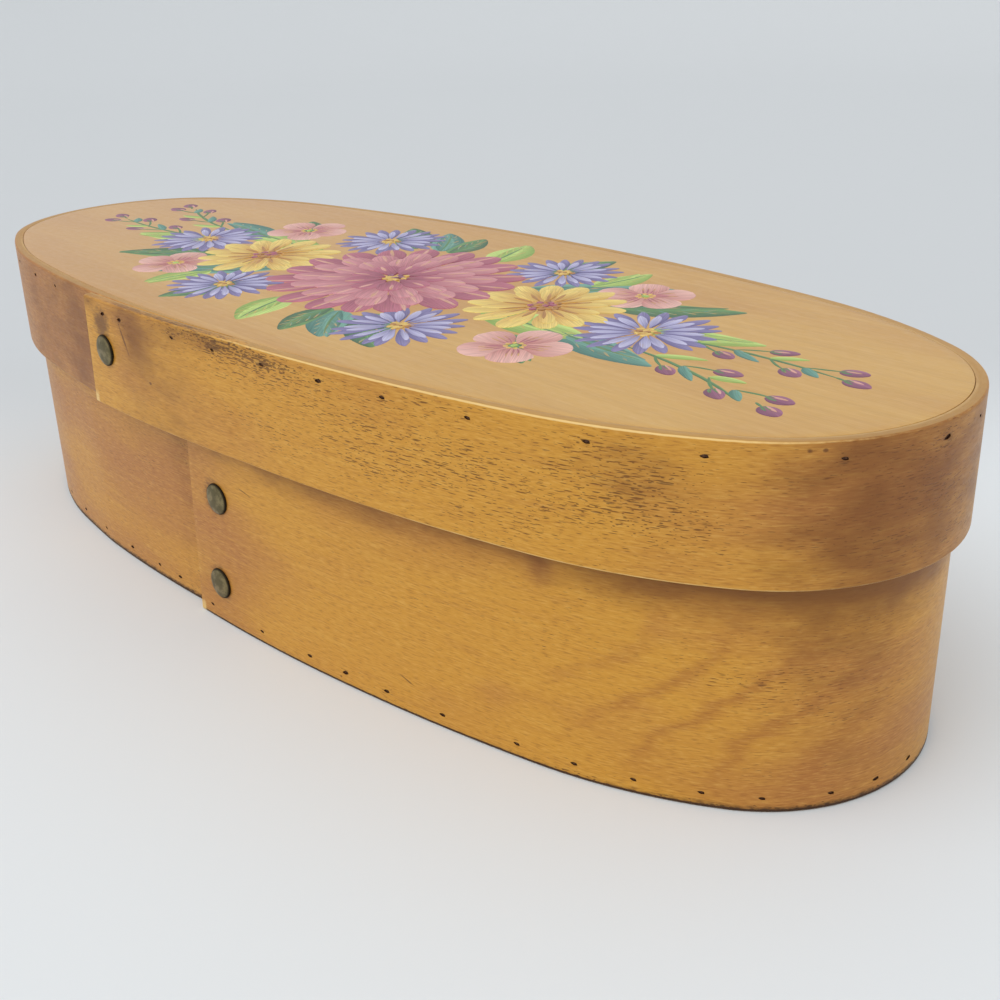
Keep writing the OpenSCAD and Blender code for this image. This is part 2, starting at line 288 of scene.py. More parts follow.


# %% [markdown]
# A handled box is dirty in some places and rubbed in others. Old stain and dirt lie in a
# mottle, the cut edge soaks up stain, and a rubbed edge goes pale. The same layers also hold
# painted light and shade: a dark contact shadow along the lower edge, a painted shade under
# the lid's rim, and a painted highlight on the rounded arris along the front. Pits are
# painted nearly black inside.

# %% Dirt, wear, painted shade and painted highlights of the veneer
# Each stain's attribute, where it sets in, how far it fades, its most and its tint. Both
# also carry painted shade: the umber one under the lid's rim, and the soot one as a painted
# contact shadow along the lower edge
STAINS_AND_SHADE = (("umber", 0.5, 1.1, 0.85, "#7A4616"), ("soot", 0.62, 0.78, 1.0, "#44280F"))


def veneer_wear_and_painted_light(tree, colour, spot, mottle, marks, seed, scratches):
    """Lays stains, scratches, dark pits, edge wear, painted shade and a painted highlight over
    a colour.
    """
    blotch = stretched(tree, spot, 13, 6, 4.0, seed + 29)
    for (key, low, reach, most, tint), pattern in zip(STAINS_AND_SHADE, (blotch, mottle)):
        pattern = add(tree, "ShaderNodeMath", {0: pattern, 1: marks[key]}, operation="ADD")
        pattern = add(tree, "ShaderNodeMath", {0: pattern, 1: low}, operation="SUBTRACT")
        # Where there is none of it, the noise alone leaves nothing
        some = add(tree, "ShaderNodeMath", {0: marks[key], 1: 4.0}, operation="MULTIPLY",
                   use_clamp=True)
        pattern = add(tree, "ShaderNodeMath", {0: pattern, 1: some}, operation="MULTIPLY")
        colour = tinted(tree, colour, pattern, 0.0, reach, most, tint)
    colour = scratched(tree, colour, spot, mottle, scratches, 0.75, "#5E3312")
    rubbed_and_highlight = add(tree, "ShaderNodeMath", {0: mottle, 1: 0.6, 2: marks["worn"]},
                 operation="MULTIPLY_ADD")
    # Pits are painted nearly black inside; the rounded arris is painted pale, a little for wear
    # and, along the front, as a painted highlight
    return layered(tree, colour, (marks["pit"], 0.0, 1.0, 1.0, "#43230F"),
                   (marks["edge"], 0.0, 1.0, 0.75, "#B48A48"),
                   (rubbed_and_highlight, 0.6, 1.1, 1.0, "#EAC47C"))


print("stains:", [stain[0] for stain in STAINS_AND_SHADE])


# %% [markdown]
# The parts come together in one material. Inside, the wood was left raw. Outside it has a
# satin lacquer, matt where it is bare or dirty and along the painted contact shadow of the
# lower edge. The grain can be felt, so fibres stand up a little and pores are small grooves.

# %% Birch veneer, stained and lacquered
def birch_veneer(name, seed, tilt, scratches):
    """Rotary-cut birch, stained honey and finished with a satin lacquer."""
    material, tree, spot = new_material(name, "ShaderNodeUVMap", 0, uv_map="grain")
    marks = {key: add(tree, "ShaderNodeAttribute", attribute_name=key, out=2)
             for key in SPOT_KEYS + ("edge", "bare", "worn", "pit")}
    # Real fibres are 0.02 mm thick and wouldn't show, so these are 0.4 mm by 3 mm
    fibre = stretched(tree, spot, 3, 0.4, 3.0, seed)
    mottle = stretched(tree, spot, 2.6, 1.1, 4.0, seed + 23)
    pores = veneer_pores(tree, spot, marks, seed)
    colour, streak = veneer_ground(tree, spot, marks, seed, tilt)
    colour = layered(tree, colour, (pores, -0.05, 0.08, 0.78, "#573004"),
                     (fibre, 0.5, 0.74, 0.42, "#8A5020"), (fibre, 0.5, 0.27, 0.3, "#E8B660"))
    colour = veneer_wear_and_painted_light(tree, colour, spot, mottle, marks, seed, scratches)
    raw = layered(tree, linear("#C9A56F"), (streak, 0.3, 0.7, 1.0, "#B98F58"),
                  (fibre, 0.4, 0.7, 0.4, "#A67C48"))
    colour = tinted(tree, colour, marks["bare"], 0.0, 1.0, 1.0, raw)

    gloss = add(tree, "ShaderNodeMapRange", {0: mottle, 1: 0.3, 2: 0.7, 3: 0.36, 4: 0.46})
    for key, strength in (("bare", 0.3), ("soot", 0.15)):
        gloss = add(tree, "ShaderNodeMath", {0: marks[key], 1: strength, 2: gloss},
                    operation="MULTIPLY_ADD")
    groove = add(tree, "ShaderNodeMapRange", {0: pores, 1: -0.03, 2: 0.06, 3: 0.0, 4: -0.6})
    relief = add(tree, "ShaderNodeMath", {0: fibre, 1: 0.5, 2: groove},
                 operation="MULTIPLY_ADD")
    finish(tree, colour, gloss, relief, 0.5, 0.08 * MM, {
        "IOR": 1.5, "Specular IOR Level": 0.3, "Coat Weight": 0.06, "Coat Roughness": 0.25})
    print(name, len(tree.nodes), "nodes")
    return material


# Place along and up the strip, half length, half width and turn of each scratch
# The last ones are the dark rings that the rivets have left
LID_SCRATCHES = [(24.5, 24.5, 7.5, 0.8, -66), (202, 23.5, 1.4, 0.6, 10),
                 (147, 30.5, 2, 0.4, -8), (240, 32.2, 1.1, 0.8, 0),
                 (243.3, 32.2, 0.9, 0.7, 0), (37, 13.5, 0.9, 0.7, 0), (11, 26.6, 8, 8, 0)]
BODY_SCRATCHES = [(32, 48, 4, 0.35, -12), (94, 10, 3.5, 0.4, -20), (68, 1.7, 0.7, 0.6, 0),
                  (13, 13.2, 8.2, 8.2, 0), (14.5, 42, 8.2, 8.2, 0)]
BODY_VENEER = birch_veneer("birch_veneer_body", 3.1, 0.8, BODY_SCRATCHES)
LID_VENEER = birch_veneer("birch_veneer_lid", 8.6, 0.3, LID_SCRATCHES)


# %% [markdown]
# The boards are sawn along the log instead of peeled, so their grain runs nearly straight
# from end to end. They have no strip to follow, so the pattern reads the object's own
# coordinates. The colour is worked out in a function of its own, because paint that was
# brushed on thinly lets it show through.

# %% Sawn board, lacquered over
def board_colour(tree, spot, seed):
    """The colour and the relief of a sawn basswood board, for a spot in millimetres."""
    turned = add(tree, "ShaderNodeMapping", {"Vector": spot, "Rotation": (0, 0, 0.045)})
    fibre = stretched(tree, turned, 9, 0.45, 3.0, seed)
    streak = stretched(tree, turned, 120, 2.6, 3.0, seed + 2)
    cloud = stretched(tree, turned, 110, 34, 2.0, seed + 4)
    # Towards the left end the wood is painted paler and greyer, a painted reflection of the
    # pale room in the lacquer
    length = add(tree, "ShaderNodeSeparateXYZ", {"Vector": spot})
    fine = dashes(tree, turned, 7.0, 0.9, 0.13, seed + 9)
    colour = layered(
        tree, linear("#CFA257"), (cloud, 0.35, 0.65, 1.0, "#C59450"),
        (streak, 0.48, 0.72, 0.25, "#B98A4C"), (streak, 0.5, 0.3, 0.25, "#DDB672"),
        (fibre, 0.5, 0.8, 0.22, "#96703A"), (fibre, 0.5, 0.2, 0.22, "#E8C88C"),
        (length, 60.0, -180.0, 0.5, "#CCA37C"), (fine, -0.02, 0.05, 0.35, "#80582E"))
    return colour, fibre


def sawn_board(name, seed, lacquered, scratches):
    """Basswood, sawn and planed, with satin lacquer on top if the board is outside."""
    material, tree, spot = new_material(name)
    colour, fibre = board_colour(tree, spot, seed)
    mottle = stretched(tree, spot, 2.6, 1.4, 4.0, seed + 13)
    colour = scratched(tree, colour, spot, mottle, scratches, 0.55, "#8A6A40")
    low, high, coat = (0.36, 0.46, 0.08) if lacquered else (0.62, 0.75, 0.0)
    gloss = add(tree, "ShaderNodeMapRange", {0: mottle, 1: 0.3, 2: 0.7, 3: low, 4: high})
    finish(tree, colour, gloss, fibre, 0.35, 0.06 * MM, {
        "Specular IOR Level": 0.4, "Coat Weight": coat, "Coat Roughness": 0.3})
    return material


# Scuffs on the lid's top, from the middle of the lid in millimetres
SCUFFS = [(-118, -31, 4, 0.7, 12), (-62, -44, 7, 1.1, 4), (-10, -58, 5, 0.6, 20)]
LID_WOOD = sawn_board("basswood_lid", 5.3, True, SCUFFS)
BOTTOM_WOOD = sawn_board("basswood_bottom", 11.9, False, [])
print("boards:", LID_WOOD.name, "and", BOTTOM_WOOD.name)


# %% [markdown]
# ## Metal
#
# The rivets are brass that has darkened to an olive brown in the hand, brighter where it
# rubs and nearly black round the rim, where dirt lodges. The brads are cut from iron sheet
# and rusted a dark brown, with hardly any shine left.

# %% Antiqued brass and rusted iron
def old_metal(name, ground, bright, dark, metallic, rough, patch):
    """A metal under a patina, with patches of the given width in millimetres."""
    material, tree, spot = new_material(name)
    blotch = stretched(tree, spot, patch, patch, 3.0)
    speck = stretched(tree, spot, patch * 0.25, patch * 0.25, 2.0, 4.0)
    rim = add(tree, "ShaderNodeAttribute", attribute_name="rim", out=2)
    colour = layered(tree, linear(ground), (blotch, 0.42, 0.62, 1.0, bright),
                     (speck, 0.56, 0.75, 0.45, dark), (rim, 0.0, 1.0, 1.0, dark))
    gloss = add(tree, "ShaderNodeMapRange", {
        0: blotch, 1: 0.35, 2: 0.65, 3: rough + 0.1, 4: rough - 0.04})
    gloss = add(tree, "ShaderNodeMath", {0: rim, 1: 0.2, 2: gloss}, operation="MULTIPLY_ADD")
    finish(tree, colour, gloss, speck, 0.3, 0.04 * MM, {"Metallic": metallic})
    return material


BRASS = old_metal("antiqued_brass", "#6E6446", "#8A7C58", "#2A2216", 0.85, 0.42, 2.6)
IRON = old_metal("rusted_iron", "#482A18", "#68442A", "#2C190E", 0.2, 0.75, 0.9)
print("metals:", BRASS.name, "and", IRON.name)


# %% [markdown]
# ## The oval
#
# The plan of the box is an oval of three radii: a round end, a shoulder and a long flat
# side. Where two arcs meet, their centres lie on one line, so an outline drawn any
# distance inside it keeps the same centres. The length and the width are those of the
# lid, and the two larger radii follow from them. Places on the outline are counted
# by the distance along it from the middle of the front, towards the right.

# %% The oval's arcs
HALF_LENGTH = 186.25 * MM
HALF_WIDTH = 72.75 * MM
END_RADIUS = 52 * MM
END_TURN = math.radians(59.5)
SIDE_TURN = math.radians(79.5)

reach_l = HALF_LENGTH - END_RADIUS
reach_w = HALF_WIDTH - END_RADIUS
det = (math.cos(END_TURN) * (1 - math.sin(SIDE_TURN))
       - math.cos(SIDE_TURN) * (1 - math.sin(END_TURN)))
SHOULDER_RADIUS = END_RADIUS + (
    reach_l * (1 - math.sin(SIDE_TURN)) - reach_w * math.cos(SIDE_TURN)) / det
SIDE_RADIUS = SHOULDER_RADIUS + (
    reach_w * math.cos(END_TURN) - reach_l * (1 - math.sin(END_TURN))) / det
side_centre = Vector((0, HALF_WIDTH - SIDE_RADIUS))
shoulder_centre = side_centre + (SIDE_RADIUS - SHOULDER_RADIUS) * Vector(
    (math.cos(SIDE_TURN), math.sin(SIDE_TURN)))
end_centre = Vector((reach_l, 0))

# Each arc: its centre, its radius, and the turn of its outward normal off the front
ARCS = [(side_centre, SIDE_RADIUS, math.pi / 2 - SIDE_TURN),
        (shoulder_centre, SHOULDER_RADIUS, math.pi / 2 - END_TURN),
        (end_centre, END_RADIUS, math.pi / 2)]
QUARTER = 0
for (centre, radius, turn), start in zip(ARCS, [0] + [a[2] for a in ARCS]):
    QUARTER += radius * (turn - start)
ROUND = 4 * QUARTER
lid_low, lid_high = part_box("lid_band")
body_low, body_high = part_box("body_band")
TOP = 95 * MM
BOARD_THICK = 8 * MM


def on_oval(s, offset):
    """The point at distance s along the outline, moved outward by offset, and the normal."""
    s = (s + 2 * QUARTER) % ROUND - 2 * QUARTER
    side = -1 if s < 0 else 1
    back = abs(s) > QUARTER
    left = 2 * QUARTER - abs(s) if back else abs(s)
    start = 0
    for centre, radius, turn in ARCS:
        if left <= radius * (turn - start) or centre is end_centre:
            break
        left -= radius * (turn - start)
        start = turn
    turn = start + left / radius
    up = 1 if back else -1
    normal = Vector((math.sin(turn) * side, math.cos(turn) * up))
    middle = Vector((centre.x * side, centre.y * up))
    return middle + normal * (radius + offset), normal


def along_front(x):
    """The distance along the outline of the place x on the front."""
    return SIDE_RADIUS * math.asin(x / SIDE_RADIUS)


print("radii:", [round(r / MM, 1) for r in (END_RADIUS, SHOULDER_RADIUS, SIDE_RADIUS)])
print("once round the lid:", round(ROUND / MM, 1), "mm")


# %% [markdown]
# ## Two lapped strips
#
# Each band is one strip of veneer, softened in steam and bent round a mould. Its outer end
# lies on top of the lap, and its inner end is thinned to a feather under it. The lid's lap
# stands proud by a strip's thickness, while the body's strip dips in before its lap, so
# that the lid still slides over it. All of that is a few numbers for each band, and two
# functions that say how far out a band lies at a distance from its outer end.

# %% The bands in numbers
THICK = 3 * MM
LAP_LINE = 0.15 * MM
LAP = 80 * MM


def band_of(outer, lap, rise, dip):
    """A band: its offset, its outer end's place, and how its lap rises and dips."""
    start = along_front(lap)
    return dict(outer=outer, lap=lap, start=start, over=along_front(lap + LAP) - start,
                rise=rise, drop=THICK + LAP_LINE - rise, dip=dip)


def dip_of(band, d):
    """How much of its dip a band has at distance d, shortly before its lap."""
    return max(0, 1 - (ROUND - d) / band["dip"]) if band["dip"] else 0


def face_of(band, d):
    """The outer face's offset and the thickness, at distance d from the outer end."""
    if d < band["over"]:
        return band["outer"] + band["rise"] * (1 - d / band["over"]), THICK
    if d < ROUND:
        return band["outer"] - band["drop"] * dip_of(band, d), THICK
    part = 1 - (d - ROUND) / band["over"]
    thick = (THICK + LAP_LINE) * part - LAP_LINE
    face = band["outer"] + band["rise"] * part - THICK - LAP_LINE
    return face, max(0, thick)


def on_face(band, s):
    """The point and the normal on a band's outer face, at distance s along the outline."""
    return on_oval(s, face_of(band, (s - band["start"]) % ROUND)[0])


LID_BAND = band_of(outer=0, lap=-61.5 * MM, rise=3.15 * MM, dip=0)
BODY_BAND = band_of(outer=-3.7 * MM, lap=-21 * MM, rise=0.4 * MM, dip=65 * MM)
print("lap on the oval:", round(LID_BAND["over"] / MM, 1), "mm")


# %% [markdown]
# A path is a row of stations along the strip. Each has a point on the outer face, the way
# out, and how thick the strip is there. They are kept as attributes on a mesh without
# faces, which geometry nodes can read. The first few stations close the outer end.

# %% Stations along a strip
EASE = 0.4 * MM
END_LEAN = math.tan(math.radians(4))
LEANING = 30 * MM
STEP = 2 * MM


def store(mesh, name, values, domain="POINT"):
    """Keeps a number or a vector for each point or face of a mesh."""
    if hasattr(values[0], "__len__"):
        kept = mesh.attributes.new(name, "FLOAT_VECTOR", domain).data
        kept.foreach_set("vector", [number for value in values for number in value])
    else:
        mesh.attributes.new(name, "FLOAT", domain).data.foreach_set("value", values)


def point_row(name, points, kept):
    """An object of bare points, with attributes kept for each of them."""
    mesh = bpy.data.meshes.new(name)
    mesh.from_pydata(points, [], [])
    for key, values in kept.items():
        store(mesh, key, values)
    return bpy.data.objects.new(name, mesh)


def path_of(name, band):
    """The stations of a strip, with its ends drawn to a closed edge."""
    last = ROUND + band["over"] * THICK / (THICK + LAP_LINE)
    count = round(last / STEP)
    # Distance from the outer end, and the share of the thickness there
    stations = [(0, 0), (0, 1 - 2 * EASE / THICK), (EASE / 3, 1 - EASE / THICK), (EASE, 1)]
    stations += [(last * i / count, 1) for i in range(1, count + 1)]
    points = []
    kept = {"out": [], "thick": [], "travel": [], "slant": []}
    for d, share in stations:
        face, thick = face_of(band, d)
        point, normal = on_oval(band["start"] + d, face - thick * (1 - share) / 2)
        points.append((point.x, point.y, 0))
        kept["out"].append((normal.x, normal.y, 0))
        kept["thick"].append(thick * share)
        kept["travel"].append(d)
        kept["slant"].append(max(0, 1 - d / LEANING) ** 2)
    return point_row(name, points, kept)


body_path = path_of("body_path", BODY_BAND)
lid_path = path_of("lid_path", LID_BAND)
print("stations:", len(body_path.data.vertices), len(lid_path.data.vertices))


# %% [markdown]
# The section is the strip's outline when it is cut across: a tall narrow ring with eased
# corners. It is a mesh of bare points too, and ends where it starts. The lid's upper arris
# gets a larger radius, because hands have rubbed it rounder than the other edges.

# %% Sections across a strip
CROWN = 0.6 * MM


def section_of(name, low, high, crown):
    """The strip's cross-section as a row of points that ends where it starts."""
    rows = round((high - low) / STEP)
    lowest, highest = low + EASE, high - crown
    rise = [lowest + (highest - lowest) * i / rows for i in range(rows + 1)]
    # More rows close to either edge, so that wear there keeps to a narrow line
    rise[1:1] = [lowest + 0.15 * MM, lowest + 0.5 * MM]
    rise[-1:-1] = [highest - 0.5 * MM]
    # Height, depth from the nearer face, and which face that is
    corner = [(math.sin(a), 1 - math.cos(a)) for a in (math.pi / 6, math.pi / 3, math.pi / 2)]
    ring = [(z, 0, 0) for z in rise]
    ring += [(high - crown + up * crown, deep * crown, 0) for up, deep in corner]
    ring += [(high, THICK / 2, 0)]
    ring += [(high - crown + up * crown, deep * EASE / 2, 1) for up, deep in corner[::-1]]
    ring += [(z, 0, 1) for z in rise[::-1]]
    ring += [(low + EASE - up * EASE, deep * EASE, 1) for up, deep in corner]
    ring += [(low, THICK / 2, 0)]
    ring += [(low + EASE - up * EASE, deep * EASE, 0) for up, deep in corner[::-1]]
    ring += [ring[0]]
    flat = [(THICK - deep if inner else deep, z) for z, deep, inner in ring]
    around = [0]
    for a, b in zip(flat, flat[1:]):
        around.append(around[-1] + math.dist(a, b))
    return point_row(name, [(deep, 0, z) for z, deep, inner in ring],
                     {"inner": [inner for z, deep, inner in ring], "around": around})


body_section = section_of("body_section", body_low.z, body_high.z, EASE)
lid_section = section_of("lid_section", lid_low.z, lid_high.z, CROWN)
print("points round a section:", len(body_section.data.vertices), "on the body")


# %% [markdown]
# ## A tree that bends a strip
#
# Curve to Mesh sweeps a profile along a curve, but it can't thin the profile or lean its
# end. So this tree starts from a flat grid instead, with one row of points for each
# station and one column for each point of the section, and moves every grid point to its
# place. Every tree here has named inputs, and ends by making its instances real and
# giving them their material.

# %% Geometry nodes: how a tree starts and ends
def new_tree(name, sockets):
    """A geometry tree with a Geometry input and output, and the named inputs given."""
    tree = bpy.data.node_groups.new(name, "GeometryNodeTree")
    tree.interface.new_socket("Geometry", in_out="INPUT", socket_type="NodeSocketGeometry")
    for label, kind, value in sockets + [("Material", "Material", None)]:
        socket = tree.interface.new_socket(label, in_out="INPUT",
                                           socket_type="NodeSocket" + kind)
        if value is not None:
            socket.default_value = value
    tree.interface.new_socket("Geometry", in_out="OUTPUT", socket_type="NodeSocketGeometry")
    return tree, tree.nodes.new("NodeGroupInput").outputs


def end_tree(tree, made, material):
    """Ends a tree: instances made real, and their material set."""
    made = add(tree, "GeometryNodeRealizeInstances", {"Geometry": made})
    made = add(tree, "GeometryNodeSetMaterial", {"Geometry": made, "Material": material})
    add(tree, "NodeGroupOutput", {"Geometry": made})
    print(tree.name, "has", len(tree.nodes), "nodes")
    return tree


# %% [markdown]
# Grid points are numbered one station after the other, so a whole division of the number by
# the count of columns gives the station, and the remainder gives the place in the section.
# Sample Index then fetches what is kept there.

# %% Geometry nodes: what each grid point takes
# What is fetched from the path and from the section, and its kind
FROM_PATH = {"point": "FLOAT_VECTOR", "out": "FLOAT_VECTOR", "thick": "FLOAT",
             "travel": "FLOAT", "slant": "FLOAT"}
FROM_SECTION = {"place": "FLOAT_VECTOR", "inner": "FLOAT", "around": "FLOAT"}


def grid_of(tree, path, section):
    """A flat grid, and what each of its points takes from its station and section."""
    stations, columns = (add(tree, "GeometryNodeAttributeDomainSize", {"Geometry": source})
                         for source in (path, section))
    grid = add(tree, "GeometryNodeMeshGrid", {
        "Size X": 1.0, "Size Y": 1.0, "Vertices X": stations, "Vertices Y": columns})
    index = add(tree, "GeometryNodeInputIndex")
    taken = {}
    for source, kinds, operation in ((path, FROM_PATH, "DIVIDE_FLOOR"),
                                     (section, FROM_SECTION, "MODULO")):
        at = add(tree, "FunctionNodeIntegerMath", {0: index, 1: columns},
                 operation=operation)
        for name, kind in kinds.items():
            if name in ("point", "place"):
                value = add(tree, "GeometryNodeInputPosition")
            else:
                value = add(tree, "GeometryNodeInputNamedAttribute", {"Name": name},
                            data_type=kind)
            taken[name] = add(tree, "GeometryNodeSampleIndex", {
                "Geometry": source, "Value": value, "Index": at}, data_type=kind)
    return grid, taken


print("taken:", ", ".join([*FROM_PATH, *FROM_SECTION]))


# %% [markdown]
# A point's place is its station's point, moved up to its height in the section, in to its
# depth, and along by the lean of the sawn end. Bent veneer is never quite true, so a soft
# noise bows it a little at the end.

# %% Geometry nodes: where each point goes
def strip_spot(tree, given, taken):
    """Where a grid point lies on the bent strip."""
    point, out, thick = taken["point"], taken["out"], taken["thick"]
    place = add(tree, "ShaderNodeSeparateXYZ", {"Vector": taken["place"]})
    from_face, height = place.node.outputs["X"], place.node.outputs["Z"]

    # Depth under the outer face: an eased corner shrinks with the thickness
    share = add(tree, "ShaderNodeMath", {0: thick, 1: THICK}, operation="DIVIDE")
    eased = add(tree, "ShaderNodeMath", {0: from_face, 1: share}, operation="MULTIPLY")
    from_back = add(tree, "ShaderNodeMath", {0: thick, 1: eased}, operation="SUBTRACT")
    depth = add(tree, "ShaderNodeMix", {"Factor": taken["inner"], 2: eased, 3: from_back},
                data_type="FLOAT")
    behind = add(tree, "ShaderNodeMath", {0: depth, 1: -1.0}, operation="MULTIPLY")

    # The end's lean moves a point along the strip in step with its height
    tangent = add(tree, "ShaderNodeVectorMath", {0: (0, 0, 1), 1: out},
                  operation="CROSS_PRODUCT")
    above = add(tree, "ShaderNodeMath", {0: height, 1: given["Bottom"]}, operation="SUBTRACT")
    leaning = add(tree, "ShaderNodeMath", {0: above, 1: given["Lean"]}, operation="MULTIPLY")
    leaning = add(tree, "ShaderNodeMath", {0: leaning, 1: taken["slant"]},
                  operation="MULTIPLY")
    up = add(tree, "ShaderNodeCombineXYZ", {"Z": height})
    spot = add(tree, "ShaderNodeVectorMath", {0: point, 1: up}, operation="ADD")
    for way, amount in ((out, behind), (tangent, leaning)):
        moved = add(tree, "ShaderNodeVectorMath", {0: way, "Scale": amount},
                    operation="SCALE")
        spot = add(tree, "ShaderNodeVectorMath", {0: spot, 1: moved}, operation="ADD")

    often = add(tree, "ShaderNodeMath", {0: 1.0, 1: given["Wave length"]}, operation="DIVIDE")
    wave = add(tree, "ShaderNodeTexNoise", {"Vector": spot, "Scale": often, "Detail": 1.0})
    wave = add(tree, "ShaderNodeMath", {0: wave, 1: 0.5}, operation="SUBTRACT")
    twice = add(tree, "ShaderNodeMath", {0: given["Wave height"], 1: 2.0}, operation="MULTIPLY")
    bow = add(tree, "ShaderNodeMath", {0: wave, 1: twice}, operation="MULTIPLY")
    bowed = add(tree, "ShaderNodeVectorMath", {0: out, "Scale": bow}, operation="SCALE")
    return add(tree, "ShaderNodeVectorMath", {0: spot, 1: bowed}, operation="ADD")


print("the end leans by", round(math.degrees(math.atan(END_LEAN)), 1), "degrees")


# %% [markdown]
# A distance along the strip and one round the section are stored as a UV map before the
# seam is merged, so the wood's grain can follow the bend. Each brad's head was punched in,
# so at last a boolean cuts a pit where it went.

# %% Geometry nodes: a bent strip
def bent_strip_tree():
    """The tree that bends a strip along a path."""
    tree, given = new_tree("Bent strip", [
        ("Section", "Object", None), ("Pits", "Object", None),
        ("Bottom", "Float", 0.0), ("Lean", "Float", 0.0),
        ("Wave height", "Float", 0.12 * MM), ("Wave length", "Float", 55 * MM)])
    section, pits = (add(tree, "GeometryNodeObjectInfo", {"Object": given[name]}, out=4)
                     for name in ("Section", "Pits"))
    mesh, taken = grid_of(tree, given["Geometry"], section)
    spot = strip_spot(tree, given, taken)

    # The UV map takes point attributes, because a grid corner has another index
    for name, value in (("inside", taken["inner"]), ("travel", taken["travel"]),
                        ("around", taken["around"])):
        mesh = add(tree, "GeometryNodeStoreNamedAttribute",
                   {"Geometry": mesh, "Name": name, "Value": value},
                   data_type="FLOAT", domain="POINT")
    uv = add(tree, "ShaderNodeCombineXYZ", {
        axis: add(tree, "GeometryNodeInputNamedAttribute", {"Name": name}, data_type="FLOAT")
        for axis, name in (("X", "travel"), ("Y", "around"))})
    mesh = add(tree, "GeometryNodeSetPosition", {"Geometry": mesh, "Position": spot})
    mesh = add(tree, "GeometryNodeStoreNamedAttribute",
               {"Geometry": mesh, "Name": "grain", "Value": uv},
               data_type="FLOAT2", domain="CORNER")
    mesh = add(tree, "GeometryNodeMergeByDistance", {"Geometry": mesh, "Distance": 0.01 * MM})
    mesh = add(tree, "GeometryNodeMeshBoolean", {"Mesh 1": mesh, "Mesh 2": [pits]},
               operation="DIFFERENCE", solver="MANIFOLD")
    mesh = add(tree, "GeometryNodeSetShadeSmooth", {"Geometry": mesh})
    return end_tree(tree, mesh, given["Material"])


STRIP = bent_strip_tree()


# %% [markdown]
# ## Places for the small parts
#
# Brads and rivets go where the construction has them. The brads of one row are one node of
# the frame, so its mesh is split into islands, and each island's middle gives a place on
# the outline. A place is a point on the band's outer face and the way out there. Brads are
# driven into the middle of a board's edge.

# %% Where the brads are
def islands(node):
    """The middle of each separate solid in a node of the frame."""
    mesh = bmesh.new()
    mesh.from_mesh(frame["nodes"][node].data)
    bmesh.ops.remove_doubles(mesh, verts=mesh.verts, dist=0.001 * MM)
    mesh.verts.index_update()
    # Points are taken by their number, so that the order is the same on every run
    left = {vertex.index: vertex for vertex in mesh.verts}
    middles = []
    while left:
        todo = [left.pop(min(left))]
        seen = []
        while todo:
            vertex = todo.pop()
            seen.append(vertex.co.copy())
            for edge in vertex.link_edges:
                other = left.pop(edge.other_vert(vertex).index, None)
                if other is not None:
                    todo.append(other)
        middles.append(sum(seen, Vector()) / len(seen))
    mesh.free()
    return middles


def nearest_on_oval(point):
    """The distance along the outline of the place nearest to a point."""
    best, width = 0, ROUND / 2
    while width > 0.01 * MM:
        tries = [best + width * i / 40 for i in range(-40, 41)]
        best = min(tries, key=lambda s: (on_oval(s, 0)[0] - point.xy).length)
        width /= 20
    return best


def brad_spots(node, band, z):
    """Each brad's place on the outer face of its band."""
    found = [on_face(band, nearest_on_oval(middle)) for middle in islands(node)]
    return [(Vector((point.x, point.y, z)), Vector((normal.x, normal.y, 0)))
            for point, normal in found]


def places_of(name, spots):
    """Points on a band's outer face, each with its way out as an attribute."""
    return point_row(name, [point for point, out in spots],
                     {"out": [out for point, out in spots]})


bottom_spots = brad_spots("bottom_brads", BODY_BAND, BOARD_THICK / 2)
lid_spots = brad_spots("lid_brads", LID_BAND, TOP - BOARD_THICK / 2)
bottom_places = places_of("bottom_places", bottom_spots)
lid_places = places_of("lid_places", lid_spots)
print("brads:", len(bottom_spots), "in the bottom,", len(lid_spots), "in the lid")


# %% [markdown]
# A second, much smaller tree sets a form on every place, turned to face out and varied a
# little by a seeded random roll and size, because each brad was driven by hand. A tree is
# run by a modifier on an object, and the result is copied out as a plain mesh.

# %% Geometry nodes: a form on every place
def places_tree():
    """The tree that sets a form on every place."""
    tree, given = new_tree("Set on places", [
        ("Form", "Object", None), ("Roll", "Float", math.radians(6)),
        ("Least size", "Float", 0.9), ("Most size", "Float", 1.1), ("Seed", "Int", 1)])
    form = add(tree, "GeometryNodeObjectInfo", {"Object": given["Form"]}, out=4)
    out = add(tree, "GeometryNodeInputNamedAttribute", {"Name": "out"},
              data_type="FLOAT_VECTOR")
    facing = add(tree, "FunctionNodeAxesToRotation", {
        "Primary Axis": out, "Secondary Axis": (0, 0, 1)},
        primary_axis="Z", secondary_axis="Y")
    back = add(tree, "ShaderNodeMath", {0: given["Roll"], 1: -1.0}, operation="MULTIPLY")
    roll = add(tree, "FunctionNodeRandomValue",
               {2: back, 3: given["Roll"], "Seed": given["Seed"]}, out=1, data_type="FLOAT")
    roll = add(tree, "FunctionNodeAxisAngleToRotation", {"Axis": (0, 0, 1), "Angle": roll})
    turned = add(tree, "FunctionNodeRotateRotation",
                 {"Rotation": facing, "Rotate By": roll}, rotation_space="LOCAL")
    index = add(tree, "GeometryNodeInputIndex")
    size = add(tree, "FunctionNodeRandomValue", {
        2: given["Least size"], 3: given["Most size"], "Seed": given["Seed"],
        "ID": index}, out=1, data_type="FLOAT")
    made = add(tree, "GeometryNodeInstanceOnPoints", {
        "Points": given["Geometry"], "Instance": form, "Rotation": turned, "Scale": size})
    return end_tree(tree, made, given["Material"])


